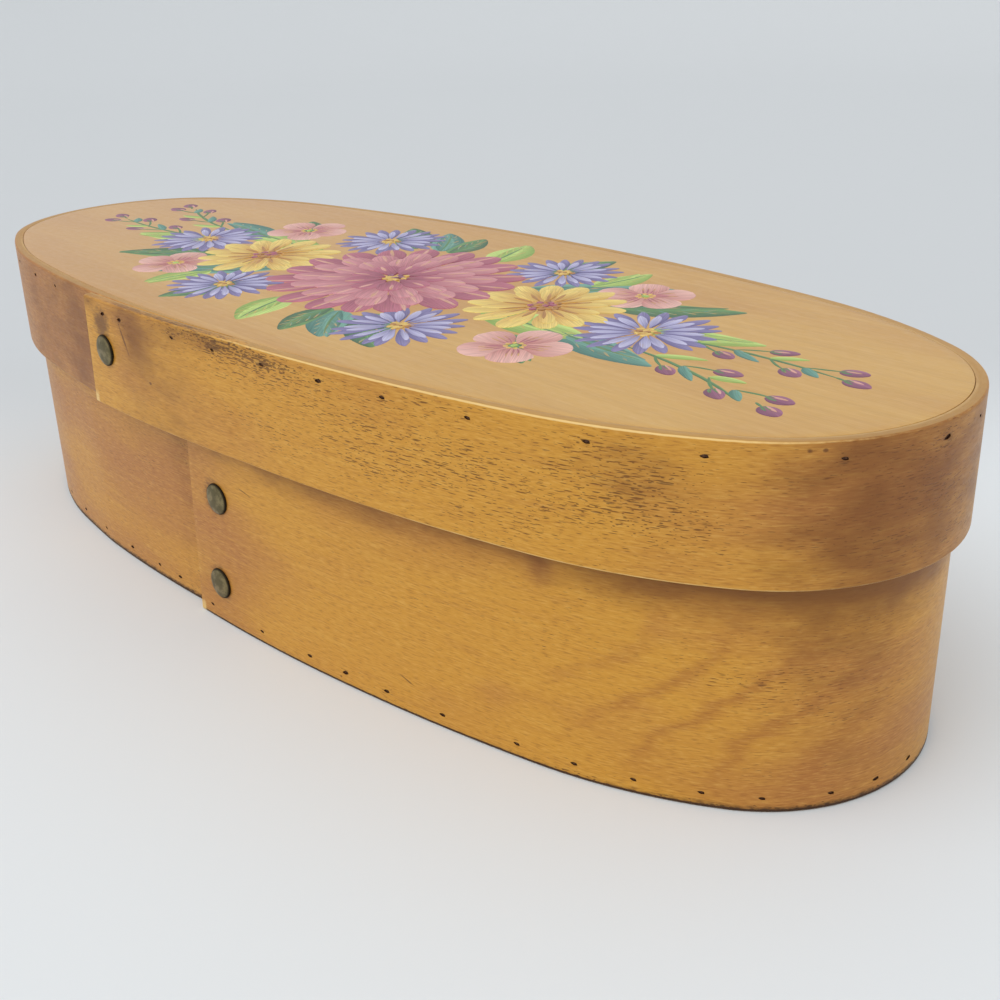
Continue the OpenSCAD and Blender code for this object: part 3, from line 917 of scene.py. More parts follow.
def bake(name, source, tree, **inputs):
    """Runs a tree on a source object, and returns the result as a plain object."""
    modifier = source.modifiers.new(tree.name, "NODES")
    modifier.node_group = tree
    for item in tree.interface.items_tree:
        if item.in_out == "INPUT" and item.name in inputs:
            modifier[item.identifier] = inputs[item.name]
    scene = bpy.context.scene.collection.objects
    scene.link(source)
    ready = source.evaluated_get(bpy.context.evaluated_depsgraph_get())
    mesh = bpy.data.meshes.new_from_object(ready)
    source.modifiers.remove(modifier)
    scene.unlink(source)
    mesh.name = name
    print(name, len(mesh.vertices), "points,", len(mesh.polygons), "faces")
    return bpy.data.objects.new(name, mesh)


PLACES = places_tree()


# %% [markdown]
# ## Forms built of rings
#
# Brads, rivets, boards and even the floor are rings of points, joined one to the next. A
# ring may be one point repeated, and then the faces to it are triangles that close the
# form. A spun form is a row of (radius, height) points turned round Z.

# %% Rings and spun forms
def joined(mesh, rings):
    """Joins rings that have the same count of points with faces, one ring to the next."""
    for lower, upper in zip(rings, rings[1:]):
        for i in range(len(lower)):
            j = (i + 1) % len(lower)
            corners = dict.fromkeys((lower[i], lower[j], upper[j], upper[i]))
            if len(corners) > 2:
                mesh.faces.new(corners)


def spun(mesh, profile, steps):
    """Adds a profile of (radius, height) points, spun into a closed form round Z."""
    rings = []
    for radius, z in profile:
        if radius == 0:
            rings.append([mesh.verts.new((0, 0, z))] * steps)
            continue
        rings.append([mesh.verts.new((radius * math.cos(2 * math.pi * i / steps),
                                      radius * math.sin(2 * math.pi * i / steps), z))
                      for i in range(steps)])
    joined(mesh, rings)


def crease(mesh, degrees):
    """Shades a mesh smooth, except over edges that turn by more than an angle."""
    shape = bmesh.new()
    shape.from_mesh(mesh)
    for edge in shape.edges:
        edge.smooth = edge.calc_face_angle(0) < math.radians(degrees)
    for side in shape.faces:
        side.smooth = True
    shape.to_mesh(mesh)
    shape.free()


def finished(mesh, name, sharp=40):
    """Turns a bmesh into an object with smooth faces and sharp edges past an angle."""
    bmesh.ops.recalc_face_normals(mesh, faces=mesh.faces[:])
    data = bpy.data.meshes.new(name)
    mesh.to_mesh(data)
    mesh.free()
    crease(data, sharp)
    print(name, len(data.vertices), "points")
    return bpy.data.objects.new(name, data)


# %% [markdown]
# ## The bent bands
#
# A brad is a wedge cut from sheet iron, driven by hand and then punched below the surface.
# So every brad sits in a small uneven pit. Both forms are a low spun block, squeezed to an
# oblong and made a little ragged, and the pits are cut away from the strips as they are
# bent. Brads and pits share their seeds, so each brad has its pit's roll and size.

# %% The pits and the bands
PIT = [(0, -0.6 * MM), (0.75, -0.6 * MM), (1, 0.5 * MM), (0, 0.5 * MM)]
BRAD_VARIETY = {"Roll": math.radians(14), "Least size": 0.74, "Most size": 1.1}
BOTTOM_SEED = 4
LID_SEED = 9


def ragged_block(name, length, height, profile, seed):
    """An oblong block with an uneven outline, from a profile whose full radius is 1."""
    mesh = bmesh.new()
    spun(mesh, profile, 12)
    uneven = random.Random(seed)
    grown = {}
    for vertex in mesh.verts:
        angle = round(math.atan2(vertex.co.y, vertex.co.x), 3)
        square = max(abs(math.cos(angle)), abs(math.sin(angle))) ** -0.6
        grown.setdefault(angle, square * uneven.uniform(0.8, 1.12))
        vertex.co.x *= length / 2 * grown[angle]
        vertex.co.y *= height / 2 * grown[angle]
    return finished(mesh, name)


pit = ragged_block("pit", 2.5 * MM, 1.15 * MM, PIT, 3)
store(pit.data, "pit", [1.0] * len(pit.data.polygons), "FACE")
bottom_pits = bake("bottom_pits", bottom_places, PLACES, Form=pit, Seed=BOTTOM_SEED,
                   **BRAD_VARIETY)
lid_pits = bake("lid_pits", lid_places, PLACES, Form=pit, Seed=LID_SEED, **BRAD_VARIETY)
body_band = bake("bent_body", body_path, STRIP, Section=body_section, Pits=bottom_pits,
                 Bottom=body_low.z, Lean=END_LEAN, Material=BODY_VENEER)
lid_band = bake("bent_lid", lid_path, STRIP, Section=lid_section, Pits=lid_pits,
                Bottom=lid_low.z, Lean=END_LEAN, Material=LID_VENEER)
for band in (body_band, lid_band):
    crease(band.data, 35)


# %% [markdown]
# ## The two boards
#
# The lid and the bottom are boards sawn to the oval and brought flush with the bands' edges.
# A few rings of points follow the outline inwards, and the last ones shrink towards the
# middle. The bottom board's outline has the body's dip at the lap, because the board was
# trimmed to fit its band.

# %% Boards
BOARD_GAP = 0.06 * MM
BOARD_EASE = 0.12 * MM
BOARD_STEP = 3 * MM
# How far in from the edge the rings lie, and how the innermost one shrinks to the middle
INSETS = [36 * MM, 24 * MM, 14 * MM, 7 * MM, 2.5 * MM, BOARD_EASE]
SHARES = [0.0, 0.2, 0.4, 0.6, 0.8]


def board_edge(band, s):
    """A board's offset from the lid's outline at distance s, just inside its band."""
    d = (s - band["start"]) % ROUND
    dip = dip_of(band, d)
    if band["dip"] and d < band["over"]:
        dip = 1 - d / band["over"]
    return band["outer"] - THICK - band["drop"] * dip - BOARD_GAP


def board(name, band, low, high, material):
    """A flat oval board with eased edges, as one closed mesh."""
    # An inset and a height for each ring, over the edge from one face to the other
    slope, ease = BOARD_EASE * 0.3, BOARD_EASE
    profile = [(inset, low) for inset in INSETS]
    profile += [(slope, low + slope), (0, low + ease), (0, (low + high) / 2),
                (0, high - ease), (slope, high - slope)]
    profile += [(inset, high) for inset in INSETS[::-1]]
    rings = [(share, profile[0]) for share in SHARES]
    rings += [(1, spot) for spot in profile]
    rings += [(share, profile[-1]) for share in SHARES[::-1]]
    count = round(ROUND / BOARD_STEP)
    around = [ROUND * i / count for i in range(count)]
    mesh = bmesh.new()
    made = []
    for share, (inset, z) in rings:
        if share == 0:
            made.append([mesh.verts.new((0, 0, z))] * count)
            continue
        points = [on_oval(s, board_edge(band, s) - inset)[0] * share for s in around]
        made.append([mesh.verts.new((point.x, point.y, z)) for point in points])
    joined(mesh, made)
    piece = finished(mesh, name, 50)
    piece.data.materials.append(material)
    return piece


lid_board = board("lid_top", LID_BAND, TOP - BOARD_THICK, TOP, LID_WOOD)
bottom_board = board("bottom", BODY_BAND, 0, BOARD_THICK, BOTTOM_WOOD)


# %% [markdown]
# ## Brads and rivets
#
# Cut brads have small oblong heads. The rivets are of the kind that saddlers and trunk
# makers use: a domed head in front, and a shank that is split into two legs, which are
# bent over flat behind. The head is a profile spun round an axis, and the legs are narrow
# blocks with round ends.

# %% Brads
BRAD = [(0, -1.9 * MM), (0.95, -1.9 * MM), (1, -0.45 * MM), (0.86, -0.34 * MM),
        (0, -0.3 * MM)]
brad = ragged_block("brad", 2.1 * MM, 0.82 * MM, BRAD, 5)
lid_brads = bake("lid_brad_heads", lid_places, PLACES, Form=brad, Seed=LID_SEED,
                 Material=IRON, **BRAD_VARIETY)
bottom_brads = bake("bottom_brad_heads", bottom_places, PLACES, Form=brad,
                    Seed=BOTTOM_SEED, Material=IRON, **BRAD_VARIETY)


# %% [markdown]
# A rivet is made along Z, with its seat on the outer face at 0 and its legs behind the
# wood that it grips. It keeps how near each point is to the rim, where dirt lodges.

# %% A rivet's form
HEAD_RADIUS = 4.8 * MM
HEAD_HEIGHT = 1.1 * MM
HEAD_RIM = 0.3 * MM
SHANK_RADIUS = 1.6 * MM
LEG_LENGTH = 5 * MM
LEG_WIDTH = 2.6 * MM
LEG_THICK = 0.8 * MM
SEAT = 0.05 * MM


def leg(mesh, side, grip):
    """Adds one leg of a rivet, bent over flat behind the wood, towards one side."""
    half = LEG_WIDTH / 2
    round_end = half * 0.8
    tip = LEG_LENGTH - round_end
    outline = [(-half, SEAT)]
    outline += [(half * math.cos(a), tip + round_end * math.sin(a))
                for a in (math.pi * i / 10 for i in range(10, -1, -1))]
    outline += [(half, SEAT)]
    rings = [[mesh.verts.new((x, y * side, -grip - SEAT)) for x, y in outline],
             [mesh.verts.new((x * 0.88, y * side * 0.985,
                              -grip - LEG_THICK + 0.35 * MM * (y / LEG_LENGTH) ** 2))
              for x, y in outline]]
    for ring in rings:
        mesh.faces.new(ring)
    joined(mesh, rings)


def rivet_form(name, grip):
    """A rivet's head, shank and two legs, for the wood that it grips."""
    mesh = bmesh.new()
    rim = [(0, SEAT), (HEAD_RADIUS - 0.15 * MM, SEAT), (HEAD_RADIUS, 0.15 * MM)]
    dome = [(HEAD_RADIUS * math.sin(a), HEAD_RIM + HEAD_HEIGHT * math.cos(a) ** 0.8)
            for a in (math.pi / 2 * i / 9 for i in range(9, 0, -1))]
    spun(mesh, rim + dome + [(0, HEAD_RIM + HEAD_HEIGHT)], 48)
    foot = -grip - 0.3 * MM
    spun(mesh, [(0, 0.1 * MM), (SHANK_RADIUS, 0.1 * MM), (SHANK_RADIUS, foot), (0, foot)], 24)
    for side in (1, -1):
        leg(mesh, side, grip)
    form = finished(mesh, name, 45)
    store(form.data, "rim", [max(0.0, min(1.0, (v.co.xy.length / HEAD_RADIUS - 0.86) / 0.12))
                             for v in form.data.vertices])
    return form


# A node for each rivet, and how much wood it holds together
RIVETS = {"lid_rivet": ("lid", LID_BAND, 5.15 * MM),
          "body_rivet_upper": ("base", BODY_BAND, 5.6 * MM),
          "body_rivet_lower": ("base", BODY_BAND, 5.6 * MM)}
rivet_forms = {node: rivet_form(node + "_form", grip)
               for node, (body, band, grip) in RIVETS.items()}


# %% [markdown]
# Each rivet's place is read from its node in the frame. The head's middle is the middle of
# the node's box, and the slope of the strip over its lap turns the head a little.

# %% The rivets in place
def rivet_spot(node, band):
    """The place and the way out of a rivet's head on its band's outer face."""
    low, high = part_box(node)
    point, normal = on_face(band, along_front((low.x + high.x) / 2))
    tangent = Vector((-normal.y, normal.x))
    out = (normal + tangent * band["rise"] / LAP).normalized()
    return Vector((point.x, point.y, (low.z + high.z) / 2)), Vector((out.x, out.y, 0))


rivets = {}
for node, (body, band, grip) in RIVETS.items():
    places = places_of(node + "_place", [rivet_spot(node, band)])
    rivets[node] = bake("brass_" + node, places, PLACES, Form=rivet_forms[node],
                        Seed=len(rivets) + 2, Material=BRASS,
                        **{"Least size": 1.0, "Most size": 1.0})


# %% [markdown]
# ## The painted lid
#
# The lid carries a spray of garden flowers in the manner of decorative painting, where one
# press of a loaded brush makes one petal. So the painting is built of brush strokes, and
# not of a picture. Each stroke is a point with a heading, a bend, a length, a width and
# two colours, and one tree turns every point into a thin raised film of paint. The spray
# is the same on both sides when the lid is turned half round, as such sprays often are.

# %% The brush stroke's form
# Where the film has its rows and columns, closer together near its rim
ALONG = (0.03, 0.1, 0.22, 0.36, 0.5, 0.64, 0.78, 0.9, 0.97)
ACROSS = (-1, -0.93, -0.8, 0, 0.8, 0.93, 1)


def stroke_form():
    """A closed film, with its place along the stroke and across it kept for each point."""
    mesh = bmesh.new()
    first = mesh.verts.new((0, 0, 0))
    rows = [[mesh.verts.new((u, w, 0)) for w in ACROSS] for u in ALONG]
    last = mesh.verts.new((1, 0, 0))
    for low, high in zip(rows, rows[1:]):
        for j in range(len(ACROSS) - 1):
            mesh.faces.new((low[j], high[j], high[j + 1], low[j + 1]))
        mesh.faces.new((low[0], low[-1], high[-1], high[0]))
    for tip, row in ((first, rows[0]), (last, rows[-1][::-1])):
        for a, b in zip(row, row[1:]):
            mesh.faces.new((tip, a, b))
        mesh.faces.new((tip, row[-1], row[0]))
    form = finished(mesh, "stroke", 180)
    spots = [v.co.copy() for v in form.data.vertices]
    store(form.data, "u", [spot.x for spot in spots])
    store(form.data, "w", [spot.y for spot in spots])
    # The film's rim, which is pressed down to the wood
    store(form.data, "rise", [0.0 if abs(spot.y) == 1 or spot.x in (0, 1) else 1.0
                              for spot in spots])
    return form


STROKE = stroke_form()
print("a stroke has", len(STROKE.data.polygons), "faces")


# %% [markdown]
# The tree moves each point of each film with a formula. The stroke's middle line is an arc
# whose heading grows evenly with the bend. Its width is a sine that is pushed towards one
# end, so the same form can be a petal, a stem or a round dot. A stroke lies a hundredth
# of a millimetre higher for each level, so it covers the strokes of lower levels.

# %% The formula of a brush stroke
# What each stroke's point carries
STROKE_KEYS = ("heading", "bend", "length", "width", "belly", "blunt", "level", "side",
               "along", "fade")
# Each step's name, its operation and its terms, which are numbers or earlier names
STROKE_STEPS = [
    # Along the arc
    ("turned", "MULTIPLY_ADD", "bend", "u", "heading"),
    ("radius", "DIVIDE", "length", "bend"),
    ("sine", "SINE", "turned"),
    ("cosine", "COSINE", "turned"),
    ("first sine", "SINE", "heading"),
    ("first cosine", "COSINE", "heading"),
    ("run x", "SUBTRACT", "sine", "first sine"),
    ("run y", "SUBTRACT", "first cosine", "cosine"),
    ("middle x", "MULTIPLY", "radius", "run x"),
    ("middle y", "MULTIPLY", "radius", "run y"),
    # Half the width there
    ("pushed", "POWER", "u", "belly"),
    ("angle", "MULTIPLY", "pushed", math.pi),
    ("swell", "SINE", "angle"),
    ("swell", "MAXIMUM", "swell", 0.0),
    ("swell", "POWER", "swell", "blunt"),
    ("half", "MULTIPLY", "width", 0.5),
    ("half", "MULTIPLY", "half", "swell"),
    ("reach", "MULTIPLY", "half", "w"),
    ("aside", "MULTIPLY", "reach", "sine"),
    ("X", "SUBTRACT", "middle x", "aside"),
    ("Y", "MULTIPLY_ADD", "reach", "cosine", "middle y"),
    # The film's height
    ("w squared", "MULTIPLY", "w", "w"),
    ("crowned", "SUBTRACT", 1.0, "w squared"),
    ("crowned", "MULTIPLY", "crowned", "Crown"),
    ("lift", "MULTIPLY_ADD", "level", "Step", "crowned"),
    ("lift", "MULTIPLY_ADD", "lift", "rise", -0.03 * MM),
    ("lift", "MULTIPLY_ADD", "rise", 0.03 * MM, "lift"),
    ("Z", "ADD", "lift", "Top"),
    # How much of the light side of the brush shows, and how well the paint covers
    ("load", "MULTIPLY", "w", "side"),
    ("load", "MULTIPLY_ADD", "load", 0.5, 0.5),
    ("from middle", "SUBTRACT", "u", 0.5),
    ("load", "MULTIPLY_ADD", "from middle", "along", "load"),
    ("cover", "MULTIPLY", "fade", "u"),
    ("cover", "SUBTRACT", 1.0, "cover"),
    ("run", "MULTIPLY", "u", "length"),
    ("often", "DIVIDE", 1.0, "Wobble length"),
]
print("steps in the formula:", len(STROKE_STEPS))


# %% [markdown]
# The tree instances the form on every point, and makes the instances real at once, so that
# each of their points can be moved on its own. Then it adds one math node for each step of
# the formula, a little noise for a hand that is never quite steady, and keeps the tint,
# the cover and the place among the bristles for the material.

# %% Geometry nodes: brush strokes
def stroke_tree():
    """The tree that turns points into brush strokes."""
    tree, given = new_tree("Brush strokes", [
        ("Form", "Object", None), ("Top", "Float", 0.0), ("Step", "Float", 0.012 * MM),
        ("Crown", "Float", 0.03 * MM), ("Wobble", "Float", 0.35 * MM),
        ("Wobble length", "Float", 7 * MM)])
    form = add(tree, "GeometryNodeObjectInfo", {"Object": given["Form"]}, out=4)
    points = add(tree, "GeometryNodeStoreNamedAttribute", {
        "Geometry": given["Geometry"], "Name": "spot",
        "Value": add(tree, "GeometryNodeInputPosition")},
        data_type="FLOAT_VECTOR", domain="POINT")
    films = add(tree, "GeometryNodeInstanceOnPoints", {"Points": points, "Instance": form})
    films = add(tree, "GeometryNodeRealizeInstances", {"Geometry": films})
    value = {name: given[name] for name in ("Top", "Step", "Crown", "Wobble length")}
    for name in ("u", "w", "rise") + STROKE_KEYS:
        value[name] = add(tree, "GeometryNodeInputNamedAttribute", {"Name": name},
                          data_type="FLOAT")
    spot, dark, light = (add(tree, "GeometryNodeInputNamedAttribute", {"Name": name},
                             data_type="FLOAT_VECTOR") for name in ("spot", "dark", "light"))
    for name, operation, *terms in STROKE_STEPS:
        value[name] = add(tree, "ShaderNodeMath", {
            i: value.get(term, term) for i, term in enumerate(terms)}, operation=operation)
    place = add(tree, "ShaderNodeCombineXYZ", {axis: value[axis] for axis in "XYZ"})
    place = add(tree, "ShaderNodeVectorMath", {0: place, 1: spot}, operation="ADD")
    shake = add(tree, "ShaderNodeTexNoise", {"Vector": place, "Scale": value["often"],
                                             "Detail": 1.0}, out=1)
    shake = add(tree, "ShaderNodeVectorMath", {0: shake, 1: (0.5, 0.5, 0.5)},
                operation="SUBTRACT")
    shake = add(tree, "ShaderNodeVectorMath", {0: shake, 1: (2, 2, 0)}, operation="MULTIPLY")
    shake = add(tree, "ShaderNodeVectorMath", {0: shake, "Scale": given["Wobble"]},
                operation="SCALE")
    place = add(tree, "ShaderNodeVectorMath", {0: place, 1: shake}, operation="ADD")

    # The brush was loaded dark on one side and light on the other
    tint = add(tree, "ShaderNodeMix", {"Factor": value["load"], 4: dark, 5: light}, out=1,
               data_type="VECTOR")
    bristle = add(tree, "ShaderNodeCombineXYZ", {
        "X": value["run"], "Y": value["reach"], "Z": value["heading"]})
    for name, found, kind in (("tint", tint, "FLOAT_VECTOR"),
                              ("cover", value["cover"], "FLOAT"),
                              ("bristle", bristle, "FLOAT_VECTOR")):
        films = add(tree, "GeometryNodeStoreNamedAttribute",
                    {"Geometry": films, "Name": name, "Value": found},
                    data_type=kind, domain="POINT")
    films = add(tree, "GeometryNodeSetPosition", {"Geometry": films, "Position": place})
    return end_tree(tree, films, given["Material"])


BRUSH = stroke_tree()


# %% [markdown]
# A painter keeps to a few mixed colours, and picks up a dark one with one side of the
# brush and a light one with the other. Every press of the brush differs a little from the
# one before, so length, width, bend and heading are varied by a seeded random hand.

# %% The palette and a single stroke
PALETTE = {name: [linear(text)[:3] for text in pair] for name, pair in {
    "rose": ("#A2505F", "#D08C90"), "deep_rose": ("#8C3A50", "#B96678"),
    "plum": ("#6B2F50", "#A0607C"), "violet": ("#4E4478", "#8A80AE"),
    "lavender": ("#7D77A6", "#C6C2DE"), "pink": ("#BC766E", "#E6B4A6"),
    "yellow": ("#C48A2C", "#EBD070"), "ochre": ("#8A5222", "#C98F3A"),
    "lime": ("#7E9E3A", "#C6DC78"), "green": ("#2A5637", "#6C9A55"),
    "teal": ("#2B665A", "#74A894")}.items()}
strokes = []
hand = random.Random(11)


def stroke(x, y, heading, length, width, paint, level, bend=0.0, belly=0.5, blunt=0.7,
           side=0.0, along=0.0, fade=0.0):
    """Lays one stroke, from (x, y) in millimetres and a heading in degrees."""
    dark, light = PALETTE[paint]
    length *= hand.uniform(0.95, 1.05)
    width *= hand.uniform(0.92, 1.08)
    bend = math.radians(bend + hand.uniform(-4, 4))
    strokes.append(dict(
        spot=(x * MM, y * MM, 0), heading=math.radians(heading + hand.uniform(-2, 2)),
        bend=bend if abs(bend) > 0.01 else 0.01, length=length * MM, width=width * MM,
        belly=math.log(0.5) / math.log(belly), blunt=blunt, level=level, side=side,
        along=along, fade=fade, dark=dark, light=light))


print("colours on the palette:", len(PALETTE))


# %% [markdown]
# Three things come back in most flowers: a round touch of the brush's tip, a ring of
# petals, and a middle that is dotted from the inside outwards. Each dot of a middle is
# turned on from the last by the golden angle, as seeds are in a real flower head, so they
# never line up.

# %% Dots, rings of petals and middles
GOLDEN_ANGLE = 137.5


def dot(x, y, size, paint, level):
    """A round touch of the brush's tip."""
    turn = hand.uniform(0, 360)
    stroke(x - size / 2 * math.cos(math.radians(turn)), y - size / 2 * math.sin(
        math.radians(turn)), turn, size, size * 0.9, paint, level, blunt=0.5, side=0.6)


def around(x, y, radius, angle):
    """A point at a radius and an angle in degrees from another."""
    return (x + radius * math.cos(math.radians(angle)),
            y + radius * math.sin(math.radians(angle)))


def petals(x, y, count, inner, length, width, paint, level, turn=0.0, **rest):
    """A ring of petals, each from an inner radius outwards."""
    for i in range(count):
        angle = turn + 360 * i / count + hand.uniform(-3, 3)
        px, py = around(x, y, inner, angle)
        stroke(px, py, angle, length, width, paint, level + (i % 3), **rest)


def middle(x, y, count, radius, size, common, rare, every, level):
    """A dotted middle, where one dot in every few is of the rarer colour."""
    for i in range(count):
        px, py = around(x, y, radius * math.sqrt(i / count), i * GOLDEN_ANGLE)
        dot(px, py, size, common if i % every else rare, level)


print("dots are turned by", GOLDEN_ANGLE, "degrees")


# %% [markdown]
# A painter lays the outer petals first and works inwards, and dots the middle last. Each
# kind of flower is a function, and every size in it is a share of the flower's own, so
# that the same flower can be laid large or small.

# %% Flowers
def dahlia(x, y, size, level):
    """A full round flower with four rings of blunt petals."""
    rings = [(18, 0.45, 0.56, 0.27, "deep_rose"), (16, 0.33, 0.48, 0.25, "rose"),
             (13, 0.2, 0.42, 0.24, "rose"), (9, 0.08, 0.32, 0.22, "deep_rose")]
    for k, (count, inner, length, width, paint) in enumerate(rings):
        petals(x, y, count, inner * size, length * size, width * size, paint, level + 4 * k,
               turn=k * 11, belly=0.64, blunt=0.55, side=0.5, along=0.9)
        petals(x, y, count, (inner + length * 0.45) * size, length * 0.5 * size,
               0.035 * size, "pink", level + 4 * k + 3, turn=k * 11 + 2, side=0.2,
               along=0.5, fade=0.5)
    middle(x, y, 12, size * 0.1, size * 0.055, "yellow", "plum", 3, level + 18)


def aster(x, y, size, level):
    """Many narrow petals in two rings round a dotted middle."""
    petals(x, y, 19, 0.2 * size, 0.8 * size, 0.2 * size, "violet", level, belly=0.62,
           side=0.4, along=0.7)
    petals(x, y, 17, 0.16 * size, 0.62 * size, 0.15 * size, "lavender", level + 3, turn=9,
           belly=0.62, side=0.3, along=0.9)
    middle(x, y, 11, size * 0.17, size * 0.11, "yellow", "ochre", 4, level + 8)


def daisy(x, y, size, level):
    """Round-ended petals in two rings, with a raised ochre middle."""
    petals(x, y, 14, 0.2 * size, 0.8 * size, 0.32 * size, "yellow", level, belly=0.66,
           blunt=0.6, side=0.4, along=1.0)
    petals(x, y, 12, 0.18 * size, 0.58 * size, 0.22 * size, "yellow", level + 4, turn=12,
           belly=0.62, blunt=0.6, side=0.6, along=0.6)
    petals(x, y, 14, 0.22 * size, 0.34 * size, 0.05 * size, "ochre", level + 8, fade=0.4)
    middle(x, y, 16, size * 0.21, size * 0.1, "ochre", "deep_rose", 3, level + 10)


def blossom(x, y, size, level, turn):
    """Five broad petals with fine veins, as a wild rose has them."""
    petals(x, y, 5, 0.1 * size, 0.9 * size, 0.86 * size, "pink", level, turn=turn,
           belly=0.62, blunt=0.5, side=0.5, along=0.9)
    for i in range(5):
        for spread in (-16, 0, 16):
            angle = turn + 72 * i + spread
            px, py = around(x, y, 0.2 * size, angle)
            stroke(px, py, angle, 0.45 * size, 0.045 * size, "deep_rose", level + 4,
                   bend=-spread, fade=0.7)
    for i in range(8):
        px, py = around(x, y, size * 0.16, i * 45)
        dot(px, py, size * 0.1, "yellow", level + 5)
    dot(x, y, size * 0.16, "lime", level + 6)


print("flowers:", [kind.__name__ for kind in (dahlia, aster, daisy, blossom)])


# %% [markdown]
# A leaf is two loaded strokes, one for each half of the blade, so that one half is light
# and the other dark. A sprig is a bent stem with leaves and buds on either side in turn.
# Their sizes are in millimetres.

# %% Leaves and sprigs
def leaf(x, y, heading, length, width, paint, level, bend=14):
    """A leaf of two loaded strokes, with a midrib and side veins."""
    stroke(x, y, heading, length, width, paint, level, bend=bend, belly=0.42, blunt=0.8,
           side=0.9, along=-0.1)
    stroke(x, y, heading + 3, length * 0.94, width * 0.5, paint, level + 1, bend=bend,
           belly=0.45, blunt=0.8, side=-0.9, along=0.3)
    stroke(x, y, heading, length * 0.9, width * 0.07, "green", level + 3, bend=bend,
           fade=0.3)
    for i in range(4):
        part = 0.2 + 0.17 * i
        px, py = around(x, y, length * part, heading + bend * part / 2)
        for side in (-1, 1):
            stroke(px, py, heading + bend * part + side * 38, width * (0.62 - 0.1 * i),
                   width * 0.05, "lime" if paint == "lime" else "teal", level + 2,
                   bend=-side * 24, fade=0.6)


STEM = 52
STEM_BEND = -22


def sprig(x, y, heading, level):
    """A bent stem with narrow leaves and a few plum buds."""
    stroke(x, y, heading, STEM, 1.3, "green", level, bend=STEM_BEND, blunt=0.4, side=0.6)
    for i, part in enumerate((0.22, 0.42, 0.62, 0.82, 1.0)):
        px, py = around(x, y, STEM * part, heading + STEM_BEND * part / 2)
        lean = (34 if i % 2 else -40) * (0 if part == 1.0 else 1)
        here = heading + STEM_BEND * part + lean
        stem = 9 if part < 1 else 3
        stroke(px, py, here, stem, 0.9, "green", level + 1, bend=-lean * 0.4, blunt=0.4)
        bx, by = around(px, py, stem * 0.92, here - lean * 0.2)
        stroke(bx, by, here - lean * 0.4, 7.6, 5.4, "plum", level + 3, belly=0.45,
               blunt=0.55, side=0.8)
        stroke(bx + 0.8, by + 0.8, here - lean * 0.4, 4.6, 1.1, "pink", level + 5, fade=0.3)
        for spread in (-28, 28):
            stroke(bx, by, here - lean * 0.4 + spread, 3.6, 1.2, "green", level + 4,
                   bend=-spread)
        if i < 4:
            stroke(px, py, here - lean * 2, 13 - 1.6 * i, 3.4, "teal" if i % 2 else "lime",
                   level + 1, bend=lean * 0.5, belly=0.4, side=0.8)


print("a stem is", STEM, "mm long")


# %% [markdown]
# The spray is laid from the back to the front: leaves, sprigs, the flowers of either half,
# and last the large one in the middle. The level of each says what lies on top.

# %% The whole spray
# Each leaf's place, heading, length, width and paint
LEAVES = [(28, 29, 62, 33, 15, "green"), (40, 16, 30, 44, 17, "teal"),
          (8, 34, 100, 27, 14, "lime"), (46, -6, -14, 46, 16, "lime"),
          (26, -30, -50, 34, 15, "green"), (72, 16, 24, 38, 14, "green"),
          (78, -10, -18, 38, 14, "teal"), (94, 6, 8, 33, 12, "lime"),
          (-16, 34, 122, 28, 13, "teal"), (70, -20, -46, 26, 11, "green"),
          (54, 30, 74, 24, 12, "lime"), (12, -34, -84, 24, 12, "green")]
# Each flower's kind, place, size, level and, for a blossom, its turn
FLOWERS = [(aster, 96, 4, 20, 5), (blossom, 78, -27, 15, 5, 20),
           (blossom, 73, 32, 14.5, 5, 50), (daisy, 58, 6, 24, 8), (aster, 41, -34, 19, 7),
           (aster, 36, 38, 18, 7)]
for way, tip in ((1, 0), (-1, 180)):
    for x, y, heading, length, width, paint in LEAVES:
        leaf(way * x, way * y, tip + heading, length, width, paint, 1)
    sprig(way * 101, way * 4, tip + 10, 1)
    sprig(way * 99, way * -9, tip - 5, 2)
    for kind, x, y, *rest in FLOWERS:
        kind(way * x, way * y, *rest)
dahlia(0, 0, 40, 10)
print("strokes:", len(strokes))


# %% [markdown]
# Artist's acrylic, brushed on and lacquered over. It dries satin, with fine ridges that
# the bristles leave, and a stroke that runs dry lets the wood show between them.

# %% Brushed acrylic
def brushed_paint():
    """The paint's material, from the attributes that the strokes carry."""
    material, tree, spot = new_material("brushed_acrylic")
    wood = board_colour(tree, spot, 5.3)[0]
    bristle = add(tree, "ShaderNodeAttribute", attribute_name="bristle", out=1)
    bristle = add(tree, "ShaderNodeVectorMath", {0: bristle, 1: (1000, 1000, 9)},
                  operation="MULTIPLY")
    # Bristle marks are 0.3 mm wide and as long as a stroke
    ridges = stretched(tree, bristle, 9, 0.3, 3.0)
    blots = stretched(tree, spot, 3.0, 3.0, 2.0, 3.0)
    tint = add(tree, "ShaderNodeAttribute", attribute_name="tint", out=1)
    shade = add(tree, "ShaderNodeMapRange", {0: ridges, 1: 0.25, 2: 0.75, 3: 0.7, 4: 1.3})
    paint = add(tree, "ShaderNodeVectorMath", {0: tint, "Scale": shade}, operation="SCALE")
    cover = add(tree, "ShaderNodeAttribute", attribute_name="cover", out=2)
    thin = add(tree, "ShaderNodeMath", {0: ridges, 1: blots}, operation="ADD")
    thin = add(tree, "ShaderNodeMath", {0: thin, 1: cover}, operation="ADD")
    colour = tinted(tree, wood, thin, 1.3, 1.85, 1.0, paint)
    gloss = add(tree, "ShaderNodeMapRange", {0: ridges, 1: 0.3, 2: 0.7, 3: 0.5, 4: 0.4})
    finish(tree, colour, gloss, ridges, 0.5, 0.06 * MM, {
        "Coat Weight": 0.1, "Coat Roughness": 0.3})
    return material


ACRYLIC = brushed_paint()
print("paint:", ACRYLIC.name)


